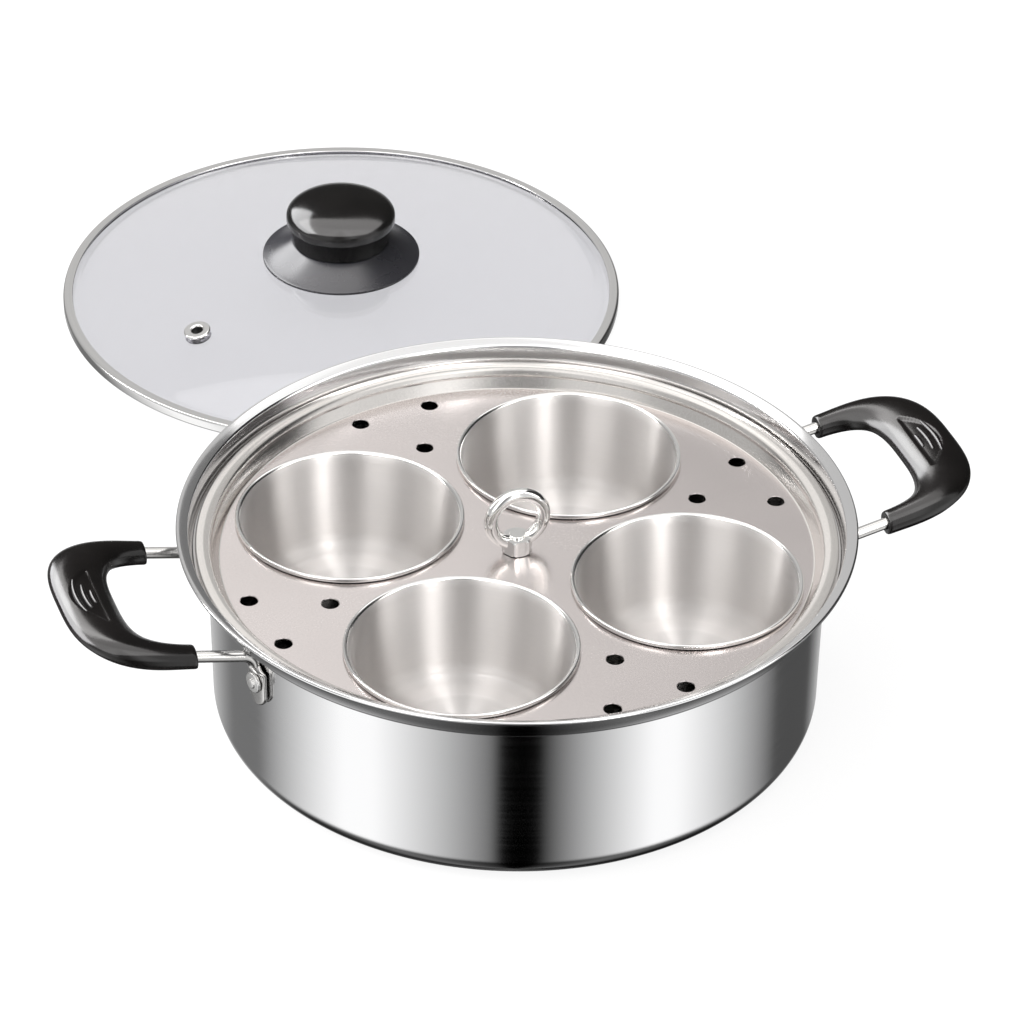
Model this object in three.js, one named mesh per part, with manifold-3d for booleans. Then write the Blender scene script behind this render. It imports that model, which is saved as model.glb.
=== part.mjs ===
// Steamer pot for poaching eggs: a shallow stainless pot with two wire handles, a drop-in tray
// that carries four cups and a lifting eye, and a glass lid that lies on the table behind it.
// Millimetres, Z up. The origin is the middle of the pot's underside and X runs along the handles.
import * as THREE from 'three';
import { mergeVertices } from 'three/addons/utils/BufferGeometryUtils.js';
import Module from 'manifold-3d';

const wasm = await Module();
wasm.setup();

// Fits between pieces
const seatGap = 0.3;
const shankGap = 0.3;
const rivetSeat = 0.6;
const rodClearance = 0.3;
const trayEdgeGap = 1;
const cupHoleGap = 0.6;
const lidRimGap = 0.8;

// Pot, drawn from one sheet, with a stepped shoulder under its rolled rim
const potHeight = 85;
const wallRadius = 120.6;
const wallDraft = 0.9;
const potCorner = 11;
const sheet = 0.8;
const ledgeDrop = 9.8;
const ledgeWidth = 6.4;
const shoulderFillet = 1.2;
const flareSpread = 1.6;
const lipOverhang = 3.9;
const lipThickness = 1.7;
const lipTilt = 27;
const potSides = 40;

// Handles: one bent wire each, with flattened ends riveted to the wall and a moulded grip
const wireRadius = 2.3;
const wireSides = 8;
const wireSpacing = 71.8;
const bendRadius = 5;
const tabWidth = 10.6;
const tabThickness = 2.2;
const tabTail = 10.5;
const tabSquareness = 4;
const tabEndSteps = 4;
const neckShare = 0.65;
const neckRoundness = 0.6;
const rivetDrop = 13.1;
const rivetShankRadius = 2.2;
const rivetHeadRadius = 4.3;
const rivetHeadHeight = 2.2;
const rivetFootRadius = 3.6;
const rivetFootHeight = 1.2;
const rivetSides = 10;
const gripGap = 9.4;
const gripTilt = 11.8;
const gripArmWidth = 12.2;
const gripArmHeight = 11;
const gripBarHeight = 9.4;
const gripReach = 42.5;
const gripEyeDepth = 19.5;
const gripOuterSquareness = 3.1;
const gripEyeSquareness = 3.15;
const gripSectionSquareness = 2.4;
const gripEndRound = 1.4;
const gripEndShare = 0.9;
const gripArmTaper = 0.17;
const gripRings = 22;
const bendSteps = 3;
const wireSteps = 8;
const gripSides = 12;

// Tray with its cup holes, steam holes and lifting eye
const traySheet = 0.8;
const trayDrop = 7.7;
const trayLean = 2.3;
const trayRoll = 2.9;
const trayEdgeHeight = 2.2;
const trayFillet = 1.5;
const trayTurn = -36.9;
const cupNames = ['right', 'rear', 'left', 'front'];
const cupCount = cupNames.length;
const cupEdgeMargin = 3;
const cupSpacing = 7.2;
const innerSteamInset = 36.6;
const outerSteamInset = 8.4;
const outerSteamOffset = 15.6;
const steamHoleRadius = 3.4;
const steamHoleSides = 10;

// Cups with a rolled rim that rests on the tray
const cupSheet = 0.6;
const cupDepth = 44;
const cupTaper = 1.5;
const cupCorner = 8;
const cupRimWidth = 3.2;
const cupRimHeight = 2;
const cupSides = 24;

// Lifting eye with a hexagon foot on the tray, held by a washer, a nut and a locknut below it
const eyeRadius = 10.8;
const eyeWireRadius = 2.7;
const eyeSides = 20;
const eyeRise = 14.7;
const eyeFootRadius = 6.2;
const eyeFootHeight = 6.6;
const studEndRadius = 3.2;
const studEndHeight = 0.9;
const eyeShankRadius = 3;
const eyeShankTail = 2;
const washerRadius = 7;
const washerThickness = 1;
const nutRadius = 5.8;
const nutHeight = 5;
const smallSides = 16;

// Glass lid with a steel band, a steam vent and a screwed knob
const lidAside = 25.7;
const lidBehindGap = 53;
const bandSheet = 0.5;
const bandTopWidth = 4.3;
const bandFootWidth = 3.4;
const bandEdge = 0.8;
const glassThickness = 3.2;
const glassFlat = 5;
const glassRise = 18.2;
const domeSteps = 5;
const ventRadius = 82.2;
const ventAngle = 202.2;
const eyeletBore = 2.5;
const eyeletTubeRadius = 3.6;
const eyeletFlangeRadius = 6;
const eyeletFlange = 0.9;
const screwRadius = 2.5;
const screwHeadRadius = 5;
const screwHeadHeight = 2.6;
const screwHeadChamfer = 0.9;
const screwGrip = 10;
const sealRadius = 9;
const sealThickness = 1.5;
const skirtRadius = 35.2;
const skirtEdge = 1.1;
const skirtRise = 8;
const knobFootRadius = 21.6;
const knobNeckRadius = 22.3;
const knobNeckHeight = 8.5;
const knobRadius = 24.4;
const knobBrow = 3.8;
const knobCrown = 8.2;
const crownFullness = 0.8;
const crownSteps = 5;
const insertRadius = 5;
const insertLength = 12;
const knobSides = 24;

// Sizes that follow from the ones above
const ledgeTop = potHeight - ledgeDrop;
const ledgeBottom = ledgeTop - sheet;
const shoulderRadius = wallRadius + ledgeWidth;
const flareRadius = shoulderRadius + flareSpread;
const rimRadius = flareRadius + lipOverhang;
const trayLipTop = ledgeTop + seatGap + trayEdgeHeight;
const trayTop = trayLipTop - trayDrop;
const trayBottom = trayTop - traySheet;
const trayFlatRadius = wallRadius - sheet - seatGap - trayLean;
const lidRadius = shoulderRadius - sheet - lidRimGap;
const lidBehind = rimRadius + lidBehindGap + lidRadius;
const shankHole = eyeShankRadius + shankGap;
const screwHole = screwRadius + shankGap;

// Four equal cups share the tray: each keeps its margin to the edge and its spacing to the next
const neighbourRatio = 2 * Math.sin(Math.PI / cupCount);
const cupRimRadius = (neighbourRatio * (trayFlatRadius - cupEdgeMargin) - cupSpacing) / (2 + neighbourRatio);
const cupRing = trayFlatRadius - cupEdgeMargin - cupRimRadius;
const cupMouth = cupRimRadius - cupRimWidth;
const trayHoleRadius = cupMouth + cupSheet + cupHoleGap;

const radians = THREE.MathUtils.degToRad;

// Points of an arc in a profile, with angles in degrees
function arc(x, z, radius, from, to, steps) {
  return Array.from({ length: steps + 1 }, (_, i) => {
    const angle = radians(from + ((to - from) * i) / steps);
    return new THREE.Vector2(x + radius * Math.cos(angle), z + radius * Math.sin(angle));
  });
}

function point(x, z) {
  return new THREE.Vector2(x, z);
}

// Power curve from 1 to 0 used for round-cornered outlines
function squared(value, squareness) {
  return Math.sign(value) * Math.abs(value) ** (2 / squareness);
}

// Welds a closed geometry, drops its empty triangles and turns its faces outwards
function weld(geometry) {
  const bare = geometry.clone();
  bare.deleteAttribute('normal');
  bare.deleteAttribute('uv');
  const welded = mergeVertices(bare, 1e-4);
  const corners = welded.index.array;
  const kept = [];
  for (let i = 0; i < corners.length; i += 3) {
    const [a, b, c] = [corners[i], corners[i + 1], corners[i + 2]];
    if (a !== b && b !== c && c !== a) kept.push(a, b, c);
  }
  const place = welded.getAttribute('position');
  const [p, q, r] = [new THREE.Vector3(), new THREE.Vector3(), new THREE.Vector3()];
  let volume = 0;
  for (let i = 0; i < kept.length; i += 3) {
    p.fromBufferAttribute(place, kept[i]);
    q.fromBufferAttribute(place, kept[i + 1]);
    r.fromBufferAttribute(place, kept[i + 2]);
    volume += p.dot(q.cross(r));
  }
  welded.setIndex(volume < 0 ? kept.reverse() : kept);
  return welded;
}

function solid(geometry) {
  const welded = weld(geometry);
  return new wasm.Manifold(new wasm.Mesh({
    numProp: 3,
    vertProperties: new Float32Array(welded.getAttribute('position').array),
    triVerts: new Uint32Array(welded.index.array),
  }));
}

function surface(body) {
  const mesh = body.getMesh();
  const geometry = new THREE.BufferGeometry();
  geometry.setAttribute('position', new THREE.BufferAttribute(mesh.vertProperties, 3));
  geometry.setIndex(new THREE.BufferAttribute(mesh.triVerts, 1));
  return geometry;
}

// Revolves a profile of radius and height about Z
function revolve(profile, sides) {
  return new THREE.LatheGeometry(profile, sides).rotateX(Math.PI / 2);
}

function rod(radius, bottom, top, sides) {
  return revolve([point(0, bottom), point(radius, bottom), point(radius, top), point(0, top)], sides);
}

function ring(inner, outer, bottom, top, sides) {
  const loop = [point(inner, bottom), point(outer, bottom), point(outer, top), point(inner, top)];
  return revolve([...loop, loop[0]], sides);
}

// Skins a row of rings with equal counts of points and closes both ends
function loft(rings) {
  const count = rings[0].length;
  const places = rings.flat();
  const faces = [];
  for (let i = 0; i < rings.length - 1; i += 1) {
    for (let j = 0; j < count; j += 1) {
      const next = (j + 1) % count;
      const [a, b] = [i * count + j, i * count + next];
      faces.push(a, b, b + count, a, b + count, a + count);
    }
  }
  const last = (rings.length - 1) * count;
  for (let j = 1; j < count - 1; j += 1) {
    faces.push(0, j + 1, j, last, last + j, last + j + 1);
  }
  const geometry = new THREE.BufferGeometry();
  geometry.setFromPoints(places);
  geometry.setIndex(faces);
  return weld(geometry);
}

// Outer radius of the pot's drafted wall at a height
function wallAt(height) {
  return wallRadius - wallDraft * (1 - (height - potCorner) / (ledgeBottom - shoulderFillet - potCorner));
}

function potShell() {
  const foot = wallRadius - wallDraft - potCorner;
  const step = [wallRadius + shoulderFillet, ledgeBottom - shoulderFillet];
  const heel = [shoulderRadius - shoulderFillet, ledgeBottom + shoulderFillet];
  const bead = lipThickness / 2;
  const tilt = radians(lipTilt);
  const lipRun = rimRadius - bead - bead * Math.sin(tilt) - (flareRadius - sheet);
  const lipInner = potHeight - bead + bead * Math.cos(tilt) - lipRun * Math.tan(tilt);
  return revolve([
    point(0, 0),
    ...arc(foot, potCorner, potCorner, -90, 0, 3),
    ...arc(...step, shoulderFillet, 180, 90, 2),
    ...arc(...heel, shoulderFillet, -90, 0, 2),
    point(flareRadius, lipInner - sheet),
    ...arc(rimRadius - bead, potHeight - bead, bead, -90, 90 + lipTilt, 3),
    point(flareRadius - sheet, lipInner),
    ...arc(...heel, shoulderFillet - sheet, 0, -90, 2),
    ...arc(...step, shoulderFillet + sheet, 90, 180, 2),
    ...arc(foot, potCorner, potCorner - sheet, 0, -90, 3),
    point(0, sheet),
  ], potSides);
}

// Handle frame: X out from the pot, Y along the grip, Z up
const wireOffset = wireSpacing / 2;
const rivetHeight = ledgeBottom - rivetDrop - wireRadius;
const tabEnd = rivetHeight - tabTail;
const tabRadius = wallAt(rivetHeight) + seatGap + tabThickness / 2;
const tabTurn = Math.asin(wireOffset / tabRadius);
const gripStart = rimRadius + gripGap;
const slope = radians(gripTilt);
const bendTop = ledgeBottom - rodClearance - wireRadius;
const bendFoot = bendTop - bendRadius * Math.cos(slope);
const bendCentre = Math.sqrt((wallAt(bendFoot) + seatGap + wireRadius) ** 2 - wireOffset ** 2) + bendRadius;
const bendOut = bendCentre - bendRadius * Math.sin(slope);
const gripHeight = bendTop + (gripStart - bendOut) * Math.tan(slope);

function planeHeight(x) {
  return gripHeight + (x - gripStart) * Math.tan(slope);
}

// Outer and inner outline of the grip at an angle from one arm's end to the other's
function gripOutline(angle) {
  const outer = wireOffset + gripArmWidth / 2;
  const inner = wireOffset - gripArmWidth / 2;
  const [turn, rise] = [Math.cos(angle), Math.sin(angle)];
  return {
    outside: point(gripStart + gripReach * squared(rise, gripOuterSquareness),
      outer * squared(turn, gripOuterSquareness)),
    inside: point(gripStart + gripEyeDepth * squared(rise, gripEyeSquareness),
      inner * squared(turn, gripEyeSquareness)),
  };
}

function wirePoint(angle) {
  const { outside, inside } = gripOutline(angle);
  const middle = outside.add(inside).multiplyScalar(0.5);
  return new THREE.Vector3(middle.x, middle.y, planeHeight(middle.x));
}

// One cross-section of the wire: a flat tab has unequal half sizes and a high squareness
function wireRing(centre, wide, thick, halfWidth, halfThickness, squareness) {
  return Array.from({ length: wireSides }, (_, i) => {
    const angle = ((i + 0.5) / wireSides) * 2 * Math.PI;
    return centre.clone()
      .addScaledVector(wide, halfWidth * squared(Math.cos(angle), squareness))
      .addScaledVector(thick, halfThickness * squared(Math.sin(angle), squareness));
  });
}

// Flat riveted tab, from its round end up to the bend, as it narrows and turns to round wire.
// Each station holds a height, a share of the tab's width and how round the section is.
function tabRings() {
  const half = tabWidth / 2;
  const shoulder = bendFoot - wireRadius;
  const stations = Array.from({ length: tabEndSteps }, (_, i) => {
    const angle = ((Math.PI / 2) * (i + 1)) / tabEndSteps;
    return [tabEnd + half * (1 - Math.cos(angle)), Math.sin(angle), 0];
  });
  stations.push([rivetHeight + rivetHeadRadius, 1, 0]);
  stations.push([shoulder, neckShare, neckRoundness]);
  stations.push([bendFoot, wireRadius / half, 1]);
  return stations.map(([height, share, round]) => {
    const turn = tabTurn * (1 - round);
    const halfThickness = THREE.MathUtils.lerp(tabThickness / 2, wireRadius, round);
    const reach = wallAt(height) + seatGap + halfThickness;
    const centre = new THREE.Vector3(Math.sqrt(reach ** 2 - wireOffset ** 2), wireOffset, height);
    const wide = new THREE.Vector3(-Math.sin(turn), Math.cos(turn), 0);
    const thick = new THREE.Vector3(Math.cos(turn), Math.sin(turn), 0);
    const squareness = THREE.MathUtils.lerp(tabSquareness, 2, round);
    return wireRing(centre, wide, thick, half * share, halfThickness, squareness);
  });
}

// Round wire from the bend to the middle of the grip, grown by a clearance for the grip's bore
function wireRings(grow) {
  const radius = wireRadius + grow;
  const lateral = new THREE.Vector3(0, 1, 0);
  const rings = [];
  for (let i = 1; i <= bendSteps; i += 1) {
    const angle = Math.PI - ((Math.PI / 2 - slope) * i) / bendSteps;
    const outward = new THREE.Vector3(-Math.cos(angle), 0, -Math.sin(angle));
    const centre = new THREE.Vector3(bendCentre, wireOffset, bendFoot).addScaledVector(outward, -bendRadius);
    rings.push(wireRing(centre, lateral, outward, radius, radius, 2));
  }
  const down = new THREE.Vector3(Math.sin(slope), 0, -Math.cos(slope));
  for (let i = 0; i <= wireSteps; i += 1) {
    const angle = (Math.PI / 2) * (i / wireSteps);
    const nudge = 0.01;
    const along = wirePoint(angle + nudge).sub(wirePoint(Math.max(angle - nudge, 0))).normalize();
    const wide = i === 0 ? lateral : along.cross(down).normalize();
    rings.push(wireRing(wirePoint(angle), wide, down, radius, radius, 2));
  }
  return rings;
}

// Adds the mirrored second half to rings that end at the middle of the grip
function mirrored(rings) {
  const flip = (place) => new THREE.Vector3(place.x, -place.y, place.z);
  return [...rings, ...rings.slice(0, -1).reverse().map((places) => places.map(flip))];
}

function rivetHole(side) {
  const bore = rod(rivetShankRadius + shankGap, 0, tabRadius + tabWidth, rivetSides);
  return bore.rotateY(Math.PI / 2).rotateZ(side * tabTurn).translate(0, 0, rivetHeight);
}

function handleBracket() {
  const wire = solid(loft(mirrored([...tabRings(), ...wireRings(0)])));
  return surface(wire.subtract(solid(rivetHole(1))).subtract(solid(rivetHole(-1))));
}

function gripRing(angle, pull, scale) {
  const { outside, inside } = gripOutline(angle);
  const middle = outside.clone().add(inside).multiplyScalar(0.5);
  const rise = Math.sin(angle);
  const share = 0.5 * scale * (1 - gripArmTaper * (1 - rise) ** 3);
  const half = outside.clone().sub(inside).multiplyScalar(share);
  const halfHeight = share * THREE.MathUtils.lerp(gripArmHeight, gripBarHeight, rise ** 2);
  return Array.from({ length: gripSides }, (_, i) => {
    const turn = ((i + 0.5) / gripSides) * 2 * Math.PI;
    const across = squared(Math.cos(turn), gripSectionSquareness);
    const x = middle.x + half.x * across - pull;
    const height = planeHeight(x) + halfHeight * squared(Math.sin(turn), gripSectionSquareness);
    return new THREE.Vector3(x, middle.y + half.y * across, height);
  });
}

function handleGrip() {
  const rings = [gripRing(0, gripEndRound, gripEndShare)];
  for (let i = 0; i <= gripRings; i += 1) rings.push(gripRing((Math.PI * i) / gripRings, 0, 1));
  rings.push(gripRing(Math.PI, gripEndRound, gripEndShare));
  const bore = loft(mirrored(wireRings(seatGap)));
  return surface(solid(loft(rings)).subtract(solid(bore)));
}

// Rivet along X, with a domed head outside the tab and a flat foot inside the wall
function handleRivet() {
  const wall = wallAt(rivetHeight);
  const foot = wall - sheet - rivetSeat;
  const seat = wall + seatGap + tabThickness + seatGap;
  const dome = (rivetHeadRadius ** 2 + rivetHeadHeight ** 2) / (2 * rivetHeadHeight);
  const spread = THREE.MathUtils.radToDeg(Math.asin(rivetHeadRadius / dome));
  return revolve([
    point(0, foot - rivetFootHeight),
    point(rivetFootRadius, foot - rivetFootHeight),
    point(rivetFootRadius, foot),
    point(rivetShankRadius, foot),
    point(rivetShankRadius, seat),
    ...arc(0, seat + rivetHeadHeight - dome, dome, 90 - spread, 90, 3),
  ], rivetSides).rotateY(Math.PI / 2);
}

function trayShell() {
  const roll = [wallRadius - sheet - seatGap + trayRoll, trayLipTop - traySheet - trayRoll];
  const edge = shoulderRadius - sheet - trayEdgeGap;
  const toe = trayFlatRadius - trayFillet;
  return revolve([
    point(0, trayBottom),
    ...arc(toe, trayBottom + trayFillet, trayFillet, -90, -10, 2),
    ...arc(...roll, trayRoll, 180, 90, 2),
    point(edge - traySheet, trayLipTop - traySheet),
    point(edge - traySheet, trayLipTop - trayEdgeHeight),
    point(edge, trayLipTop - trayEdgeHeight),
    ...arc(edge - traySheet, trayLipTop - traySheet, traySheet, 0, 90, 1),
    ...arc(...roll, trayRoll + traySheet, 90, 180, 2),
    ...arc(toe, trayBottom + trayFillet, trayFillet - traySheet, -10, -90, 2),
    point(0, trayTop),
  ], potSides);
}

// Middle of each cup and of each gap between cups, as angles in the tray's own frame
const cupAngles = Array.from({ length: cupCount }, (_, i) => (2 * Math.PI * i) / cupCount);

function trayCutter(radius, reach, angle, sides) {
  const bore = rod(radius, trayBottom - traySheet, trayTop + traySheet, sides);
  return bore.translate(reach * Math.cos(angle), reach * Math.sin(angle), 0);
}

function steamerTray() {
  const outerReach = trayFlatRadius - outerSteamInset;
  const spread = Math.asin(outerSteamOffset / outerReach);
  const cutters = [trayCutter(shankHole, 0, 0, smallSides)];
  for (const angle of cupAngles) {
    const gap = angle + Math.PI / cupCount;
    cutters.push(trayCutter(trayHoleRadius, cupRing, angle, cupSides));
    cutters.push(trayCutter(steamHoleRadius, trayFlatRadius - innerSteamInset, gap, steamHoleSides));
    cutters.push(trayCutter(steamHoleRadius, outerReach, gap - spread, steamHoleSides));
    cutters.push(trayCutter(steamHoleRadius, outerReach, gap + spread, steamHoleSides));
  }
  return surface(cutters.reduce((tray, cutter) => tray.subtract(solid(cutter)), solid(trayShell())));
}

function eggCup() {
  const rimBottom = trayTop + seatGap;
  const rimTop = rimBottom + cupRimHeight;
  const bead = cupRimHeight / 2;
  const bottom = rimTop - cupDepth - cupSheet;
  const floor = cupMouth + cupSheet - cupTaper - cupCorner;
  return revolve([
    point(0, bottom),
    ...arc(floor, bottom + cupCorner, cupCorner, -90, 0, 3),
    point(cupMouth + cupSheet, rimBottom),
    ...arc(cupRimRadius - bead, rimBottom + bead, bead, -90, 90, 2),
    point(cupMouth + cupSheet, rimTop),
    point(cupMouth, rimTop - cupSheet),
    ...arc(floor, bottom + cupCorner, cupCorner - cupSheet, 0, -90, 2),
    point(0, bottom + cupSheet),
  ], cupSides);
}

const nutTop = trayBottom - seatGap - washerThickness - seatGap;
const locknutTop = nutTop - nutHeight - seatGap;

function liftingEye() {
  const tail = locknutTop - nutHeight - eyeShankTail;
  const seat = trayTop + seatGap;
  const ringMiddle = seat + eyeRise;
  const ringFloor = ringMiddle - eyeRadius;
  const shank = rod(eyeShankRadius, tail, ringFloor, smallSides);
  const foot = rod(eyeFootRadius, seat, seat + eyeFootHeight, 6);
  const studEnd = rod(studEndRadius, ringFloor, ringFloor + eyeWireRadius + studEndHeight, smallSides);
  const loop = new THREE.TorusGeometry(eyeRadius, eyeWireRadius, wireSides, eyeSides);
  loop.rotateX(Math.PI / 2).translate(0, 0, ringMiddle);
  return surface(solid(shank).add(solid(foot)).add(solid(studEnd)).add(solid(loop)));
}

function hexNut(top) {
  const bore = rod(shankHole, top - nutHeight - seatGap, top + seatGap, smallSides);
  return surface(solid(rod(nutRadius, top - nutHeight, top, 6)).subtract(solid(bore)));
}

// Lid frame: the middle of the band's underside, on the table
const glassEdgeBottom = bandSheet + seatGap;
const bandHeight = glassEdgeBottom + glassThickness + seatGap + bandSheet;
const glassRadius = lidRadius - bandSheet - seatGap;
const domeFoot = glassRadius - glassFlat;
const domeRadius = (domeFoot ** 2 + glassRise ** 2) / (2 * glassRise);

// Underside of the glass dome at a radius
function domeAt(radius) {
  return glassEdgeBottom + glassRise - domeRadius + Math.sqrt(domeRadius ** 2 - radius ** 2);
}

function domePoints(from, to, lift, steps) {
  return Array.from({ length: steps + 1 }, (_, i) => {
    const radius = from + ((to - from) * i) / steps;
    return point(radius, domeAt(radius) + lift);
  });
}

// Direction square to the glass where the vent sits, and the middle of the glass there
const ventTilt = Math.asin(ventRadius / domeRadius);
const ventTurn = radians(ventAngle);
const ventAxis = new THREE.Vector3(0, 0, 1).applyAxisAngle(new THREE.Vector3(0, 1, 0), ventTilt);
ventAxis.applyAxisAngle(new THREE.Vector3(0, 0, 1), ventTurn);
const ventPlace = new THREE.Vector3(ventRadius, 0, domeAt(ventRadius) + glassThickness / 2);
ventPlace.applyAxisAngle(new THREE.Vector3(0, 0, 1), ventTurn);
const ventAim = new THREE.Quaternion().setFromUnitVectors(new THREE.Vector3(0, 0, 1), ventAxis);

function lidGlass() {
  const loop = [
    ...domePoints(screwHole, domeFoot, 0, domeSteps),
    point(glassRadius, glassEdgeBottom),
    point(glassRadius, glassEdgeBottom + glassThickness),
    ...domePoints(domeFoot, screwHole, glassThickness, domeSteps),
  ];
  const dome = revolve([...loop, loop[0]], potSides);
  const bore = rod(eyeletTubeRadius + shankGap, -2 * glassThickness, 2 * glassThickness, smallSides);
  bore.applyQuaternion(ventAim).translate(ventPlace.x, ventPlace.y, ventPlace.z);
  return surface(solid(dome).subtract(solid(bore)));
}

function lidBand() {
  const foot = lidRadius - bandFootWidth;
  const top = lidRadius - bandTopWidth;
  const loop = [
    point(foot, 0),
    ...arc(lidRadius - bandEdge, bandEdge, bandEdge, -90, 0, 1),
    ...arc(lidRadius - bandEdge, bandHeight - bandEdge, bandEdge, 0, 90, 2),
    point(top, bandHeight),
    point(top, bandHeight - bandSheet),
    point(lidRadius - bandSheet, bandHeight - bandSheet),
    point(lidRadius - bandSheet, bandSheet),
    point(foot, bandSheet),
  ];
  return revolve([...loop, loop[0]], potSides);
}

// Flared steel tube that lines the steam vent, along Z about the middle of the glass
function ventEyelet() {
  const seat = glassThickness / 2 + seatGap;
  const loop = [
    point(eyeletBore, -seat - eyeletFlange),
    point(eyeletFlangeRadius - eyeletFlange, -seat - eyeletFlange),
    point(eyeletFlangeRadius, -seat),
    point(eyeletTubeRadius, -seat),
    point(eyeletTubeRadius, seat),
    point(eyeletFlangeRadius, seat),
    point(eyeletFlangeRadius - eyeletFlange, seat + eyeletFlange),
    point(eyeletBore, seat + eyeletFlange),
  ];
  return revolve([...loop, loop[0]], smallSides);
}

const skirtBottom = domeAt(skirtRadius) + glassThickness + seatGap;
const skirtTop = skirtBottom + skirtRise;
const knobBottom = skirtTop + seatGap;
const sealTop = domeAt(sealRadius) - seatGap;
const screwSeat = sealTop - sealThickness - seatGap;

function knobSkirt() {
  const loop = [
    ...domePoints(screwHole, skirtRadius, glassThickness + seatGap, 3),
    point(skirtRadius, skirtBottom + skirtEdge),
    point(knobFootRadius + seatGap, skirtTop),
    point(screwHole, skirtTop),
  ];
  return revolve([...loop, loop[0]], knobSides);
}

function lidKnob() {
  const pocket = insertRadius + seatGap;
  const brow = knobBottom + knobNeckHeight;
  const widest = brow + knobBrow;
  const crown = Array.from({ length: crownSteps }, (_, i) => {
    const angle = (Math.PI / 2) * (i / crownSteps);
    return point(knobRadius * Math.cos(angle) ** crownFullness, widest + knobCrown * Math.sin(angle));
  });
  return revolve([
    point(0, knobBottom + insertLength + seatGap),
    point(pocket, knobBottom + insertLength + seatGap),
    point(pocket, knobBottom),
    point(knobFootRadius, knobBottom),
    point(knobNeckRadius, brow),
    point((knobNeckRadius + knobRadius) / 2, brow),
    ...crown,
    point(0, widest + knobCrown),
  ], knobSides);
}

function knobScrew() {
  return revolve([
    point(0, screwSeat - screwHeadHeight),
    point(screwHeadRadius - screwHeadChamfer, screwSeat - screwHeadHeight),
    point(screwHeadRadius, screwSeat - screwHeadHeight / 2),
    point(screwHeadRadius, screwSeat),
    point(screwRadius, screwSeat),
    point(screwRadius, knobBottom + screwGrip),
    point(0, knobBottom + screwGrip),
  ], smallSides);
}

function finish(color, roughness, metalness) {
  return new THREE.MeshStandardMaterial({ color, roughness, metalness });
}

function piece(parent, name, geometry, material) {
  const mesh = new THREE.Mesh(weld(geometry), material);
  mesh.name = name;
  parent.add(mesh);
  return mesh;
}

const steamerPot = new THREE.Group();

// Pot with four rivet holes in its wall
const rivetHoles = [0, Math.PI].flatMap((turn) => [1, -1].map((side) => rivetHole(side).rotateZ(turn)));
const drilledPot = rivetHoles.reduce((pot, hole) => pot.subtract(solid(hole)), solid(potShell()));
piece(steamerPot, 'pot_body', surface(drilledPot), finish(0xb9bbbd, 0.2, 1));

// Handles
const bracket = handleBracket();
const grip = handleGrip();
for (const [side, turn] of [['right', 0], ['left', Math.PI]]) {
  const handle = new THREE.Group();
  handle.rotation.z = turn;
  steamerPot.add(handle);
  piece(handle, `handle_bracket_${side}`, bracket, finish(0xd0d0ce, 0.18, 1));
  piece(handle, `handle_grip_${side}`, grip, finish(0x0d0c0c, 0.22, 0));
  for (const [end, sign] of [['a', 1], ['b', -1]]) {
    const rivet = piece(handle, `handle_rivet_${side}_${end}`, handleRivet(), finish(0xc8c8c6, 0.3, 1));
    rivet.rotation.z = sign * tabTurn;
    rivet.position.z = rivetHeight;
  }
}

// Tray with its cups and lifting eye
const tray = new THREE.Group();
tray.rotation.z = radians(trayTurn);
steamerPot.add(tray);
piece(tray, 'steamer_tray', steamerTray(), finish(0xc9c3c0, 0.38, 1));
const cup = eggCup();
cupAngles.forEach((angle, i) => {
  const mesh = piece(tray, `egg_cup_${cupNames[i]}`, cup, finish(0xcac8c4, 0.3, 1));
  mesh.position.set(cupRing * Math.cos(angle), cupRing * Math.sin(angle), 0);
});
const eyeMount = new THREE.Group();
eyeMount.rotation.z = -radians(trayTurn);
tray.add(eyeMount);
piece(eyeMount, 'lifting_eye', liftingEye(), finish(0xd6d6d2, 0.15, 1));
const washerTop = trayBottom - seatGap;
const washer = ring(shankHole, washerRadius, washerTop - washerThickness, washerTop, smallSides);
piece(eyeMount, 'eye_washer', washer, finish(0xc4c4c0, 0.3, 1));
piece(eyeMount, 'eye_nut', hexNut(nutTop), finish(0xc0c0bc, 0.3, 1));
piece(eyeMount, 'eye_locknut', hexNut(locknutTop), finish(0xd2d2ce, 0.2, 1));

// Lid on the table behind the pot
const lid = new THREE.Group();
lid.position.set(lidAside, lidBehind, 0);
steamerPot.add(lid);
piece(lid, 'lid_glass', lidGlass(), finish(0xd8dade, 0.05, 0));
piece(lid, 'lid_rim_band', lidBand(), finish(0xc6c6c4, 0.2, 1));
const eyelet = piece(lid, 'vent_eyelet', ventEyelet(), finish(0xdcdcda, 0.2, 1));
eyelet.position.copy(ventPlace);
eyelet.quaternion.copy(ventAim);
piece(lid, 'knob_skirt', knobSkirt(), finish(0x4a4b50, 0.35, 0));
piece(lid, 'lid_knob', lidKnob(), finish(0x100f0f, 0.18, 0));
const insert = ring(screwHole, insertRadius, knobBottom + seatGap, knobBottom + insertLength, smallSides);
piece(lid, 'knob_insert', insert, finish(0xb08d4a, 0.35, 1));
const seal = ring(screwHole, sealRadius, sealTop - sealThickness, sealTop, smallSides);
piece(lid, 'knob_seal', seal, finish(0xe4e4e2, 0.7, 0));
piece(lid, 'knob_screw', knobScrew(), finish(0xcfcfcc, 0.25, 1));

export default steamerPot;
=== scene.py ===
"""Looks of a steamer pot for poaching eggs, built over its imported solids.

The file follows the pot as it is put together: pot, handles, tray, cups, lifting eye, lid and knob,
and then the studio that it is seen in. Shapes are written in millimetres and become metres in skin().
"""

import bmesh
import bpy
import numpy as np
from mathutils import Matrix, Vector
from mathutils.geometry import delaunay_2d_cdt


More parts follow.
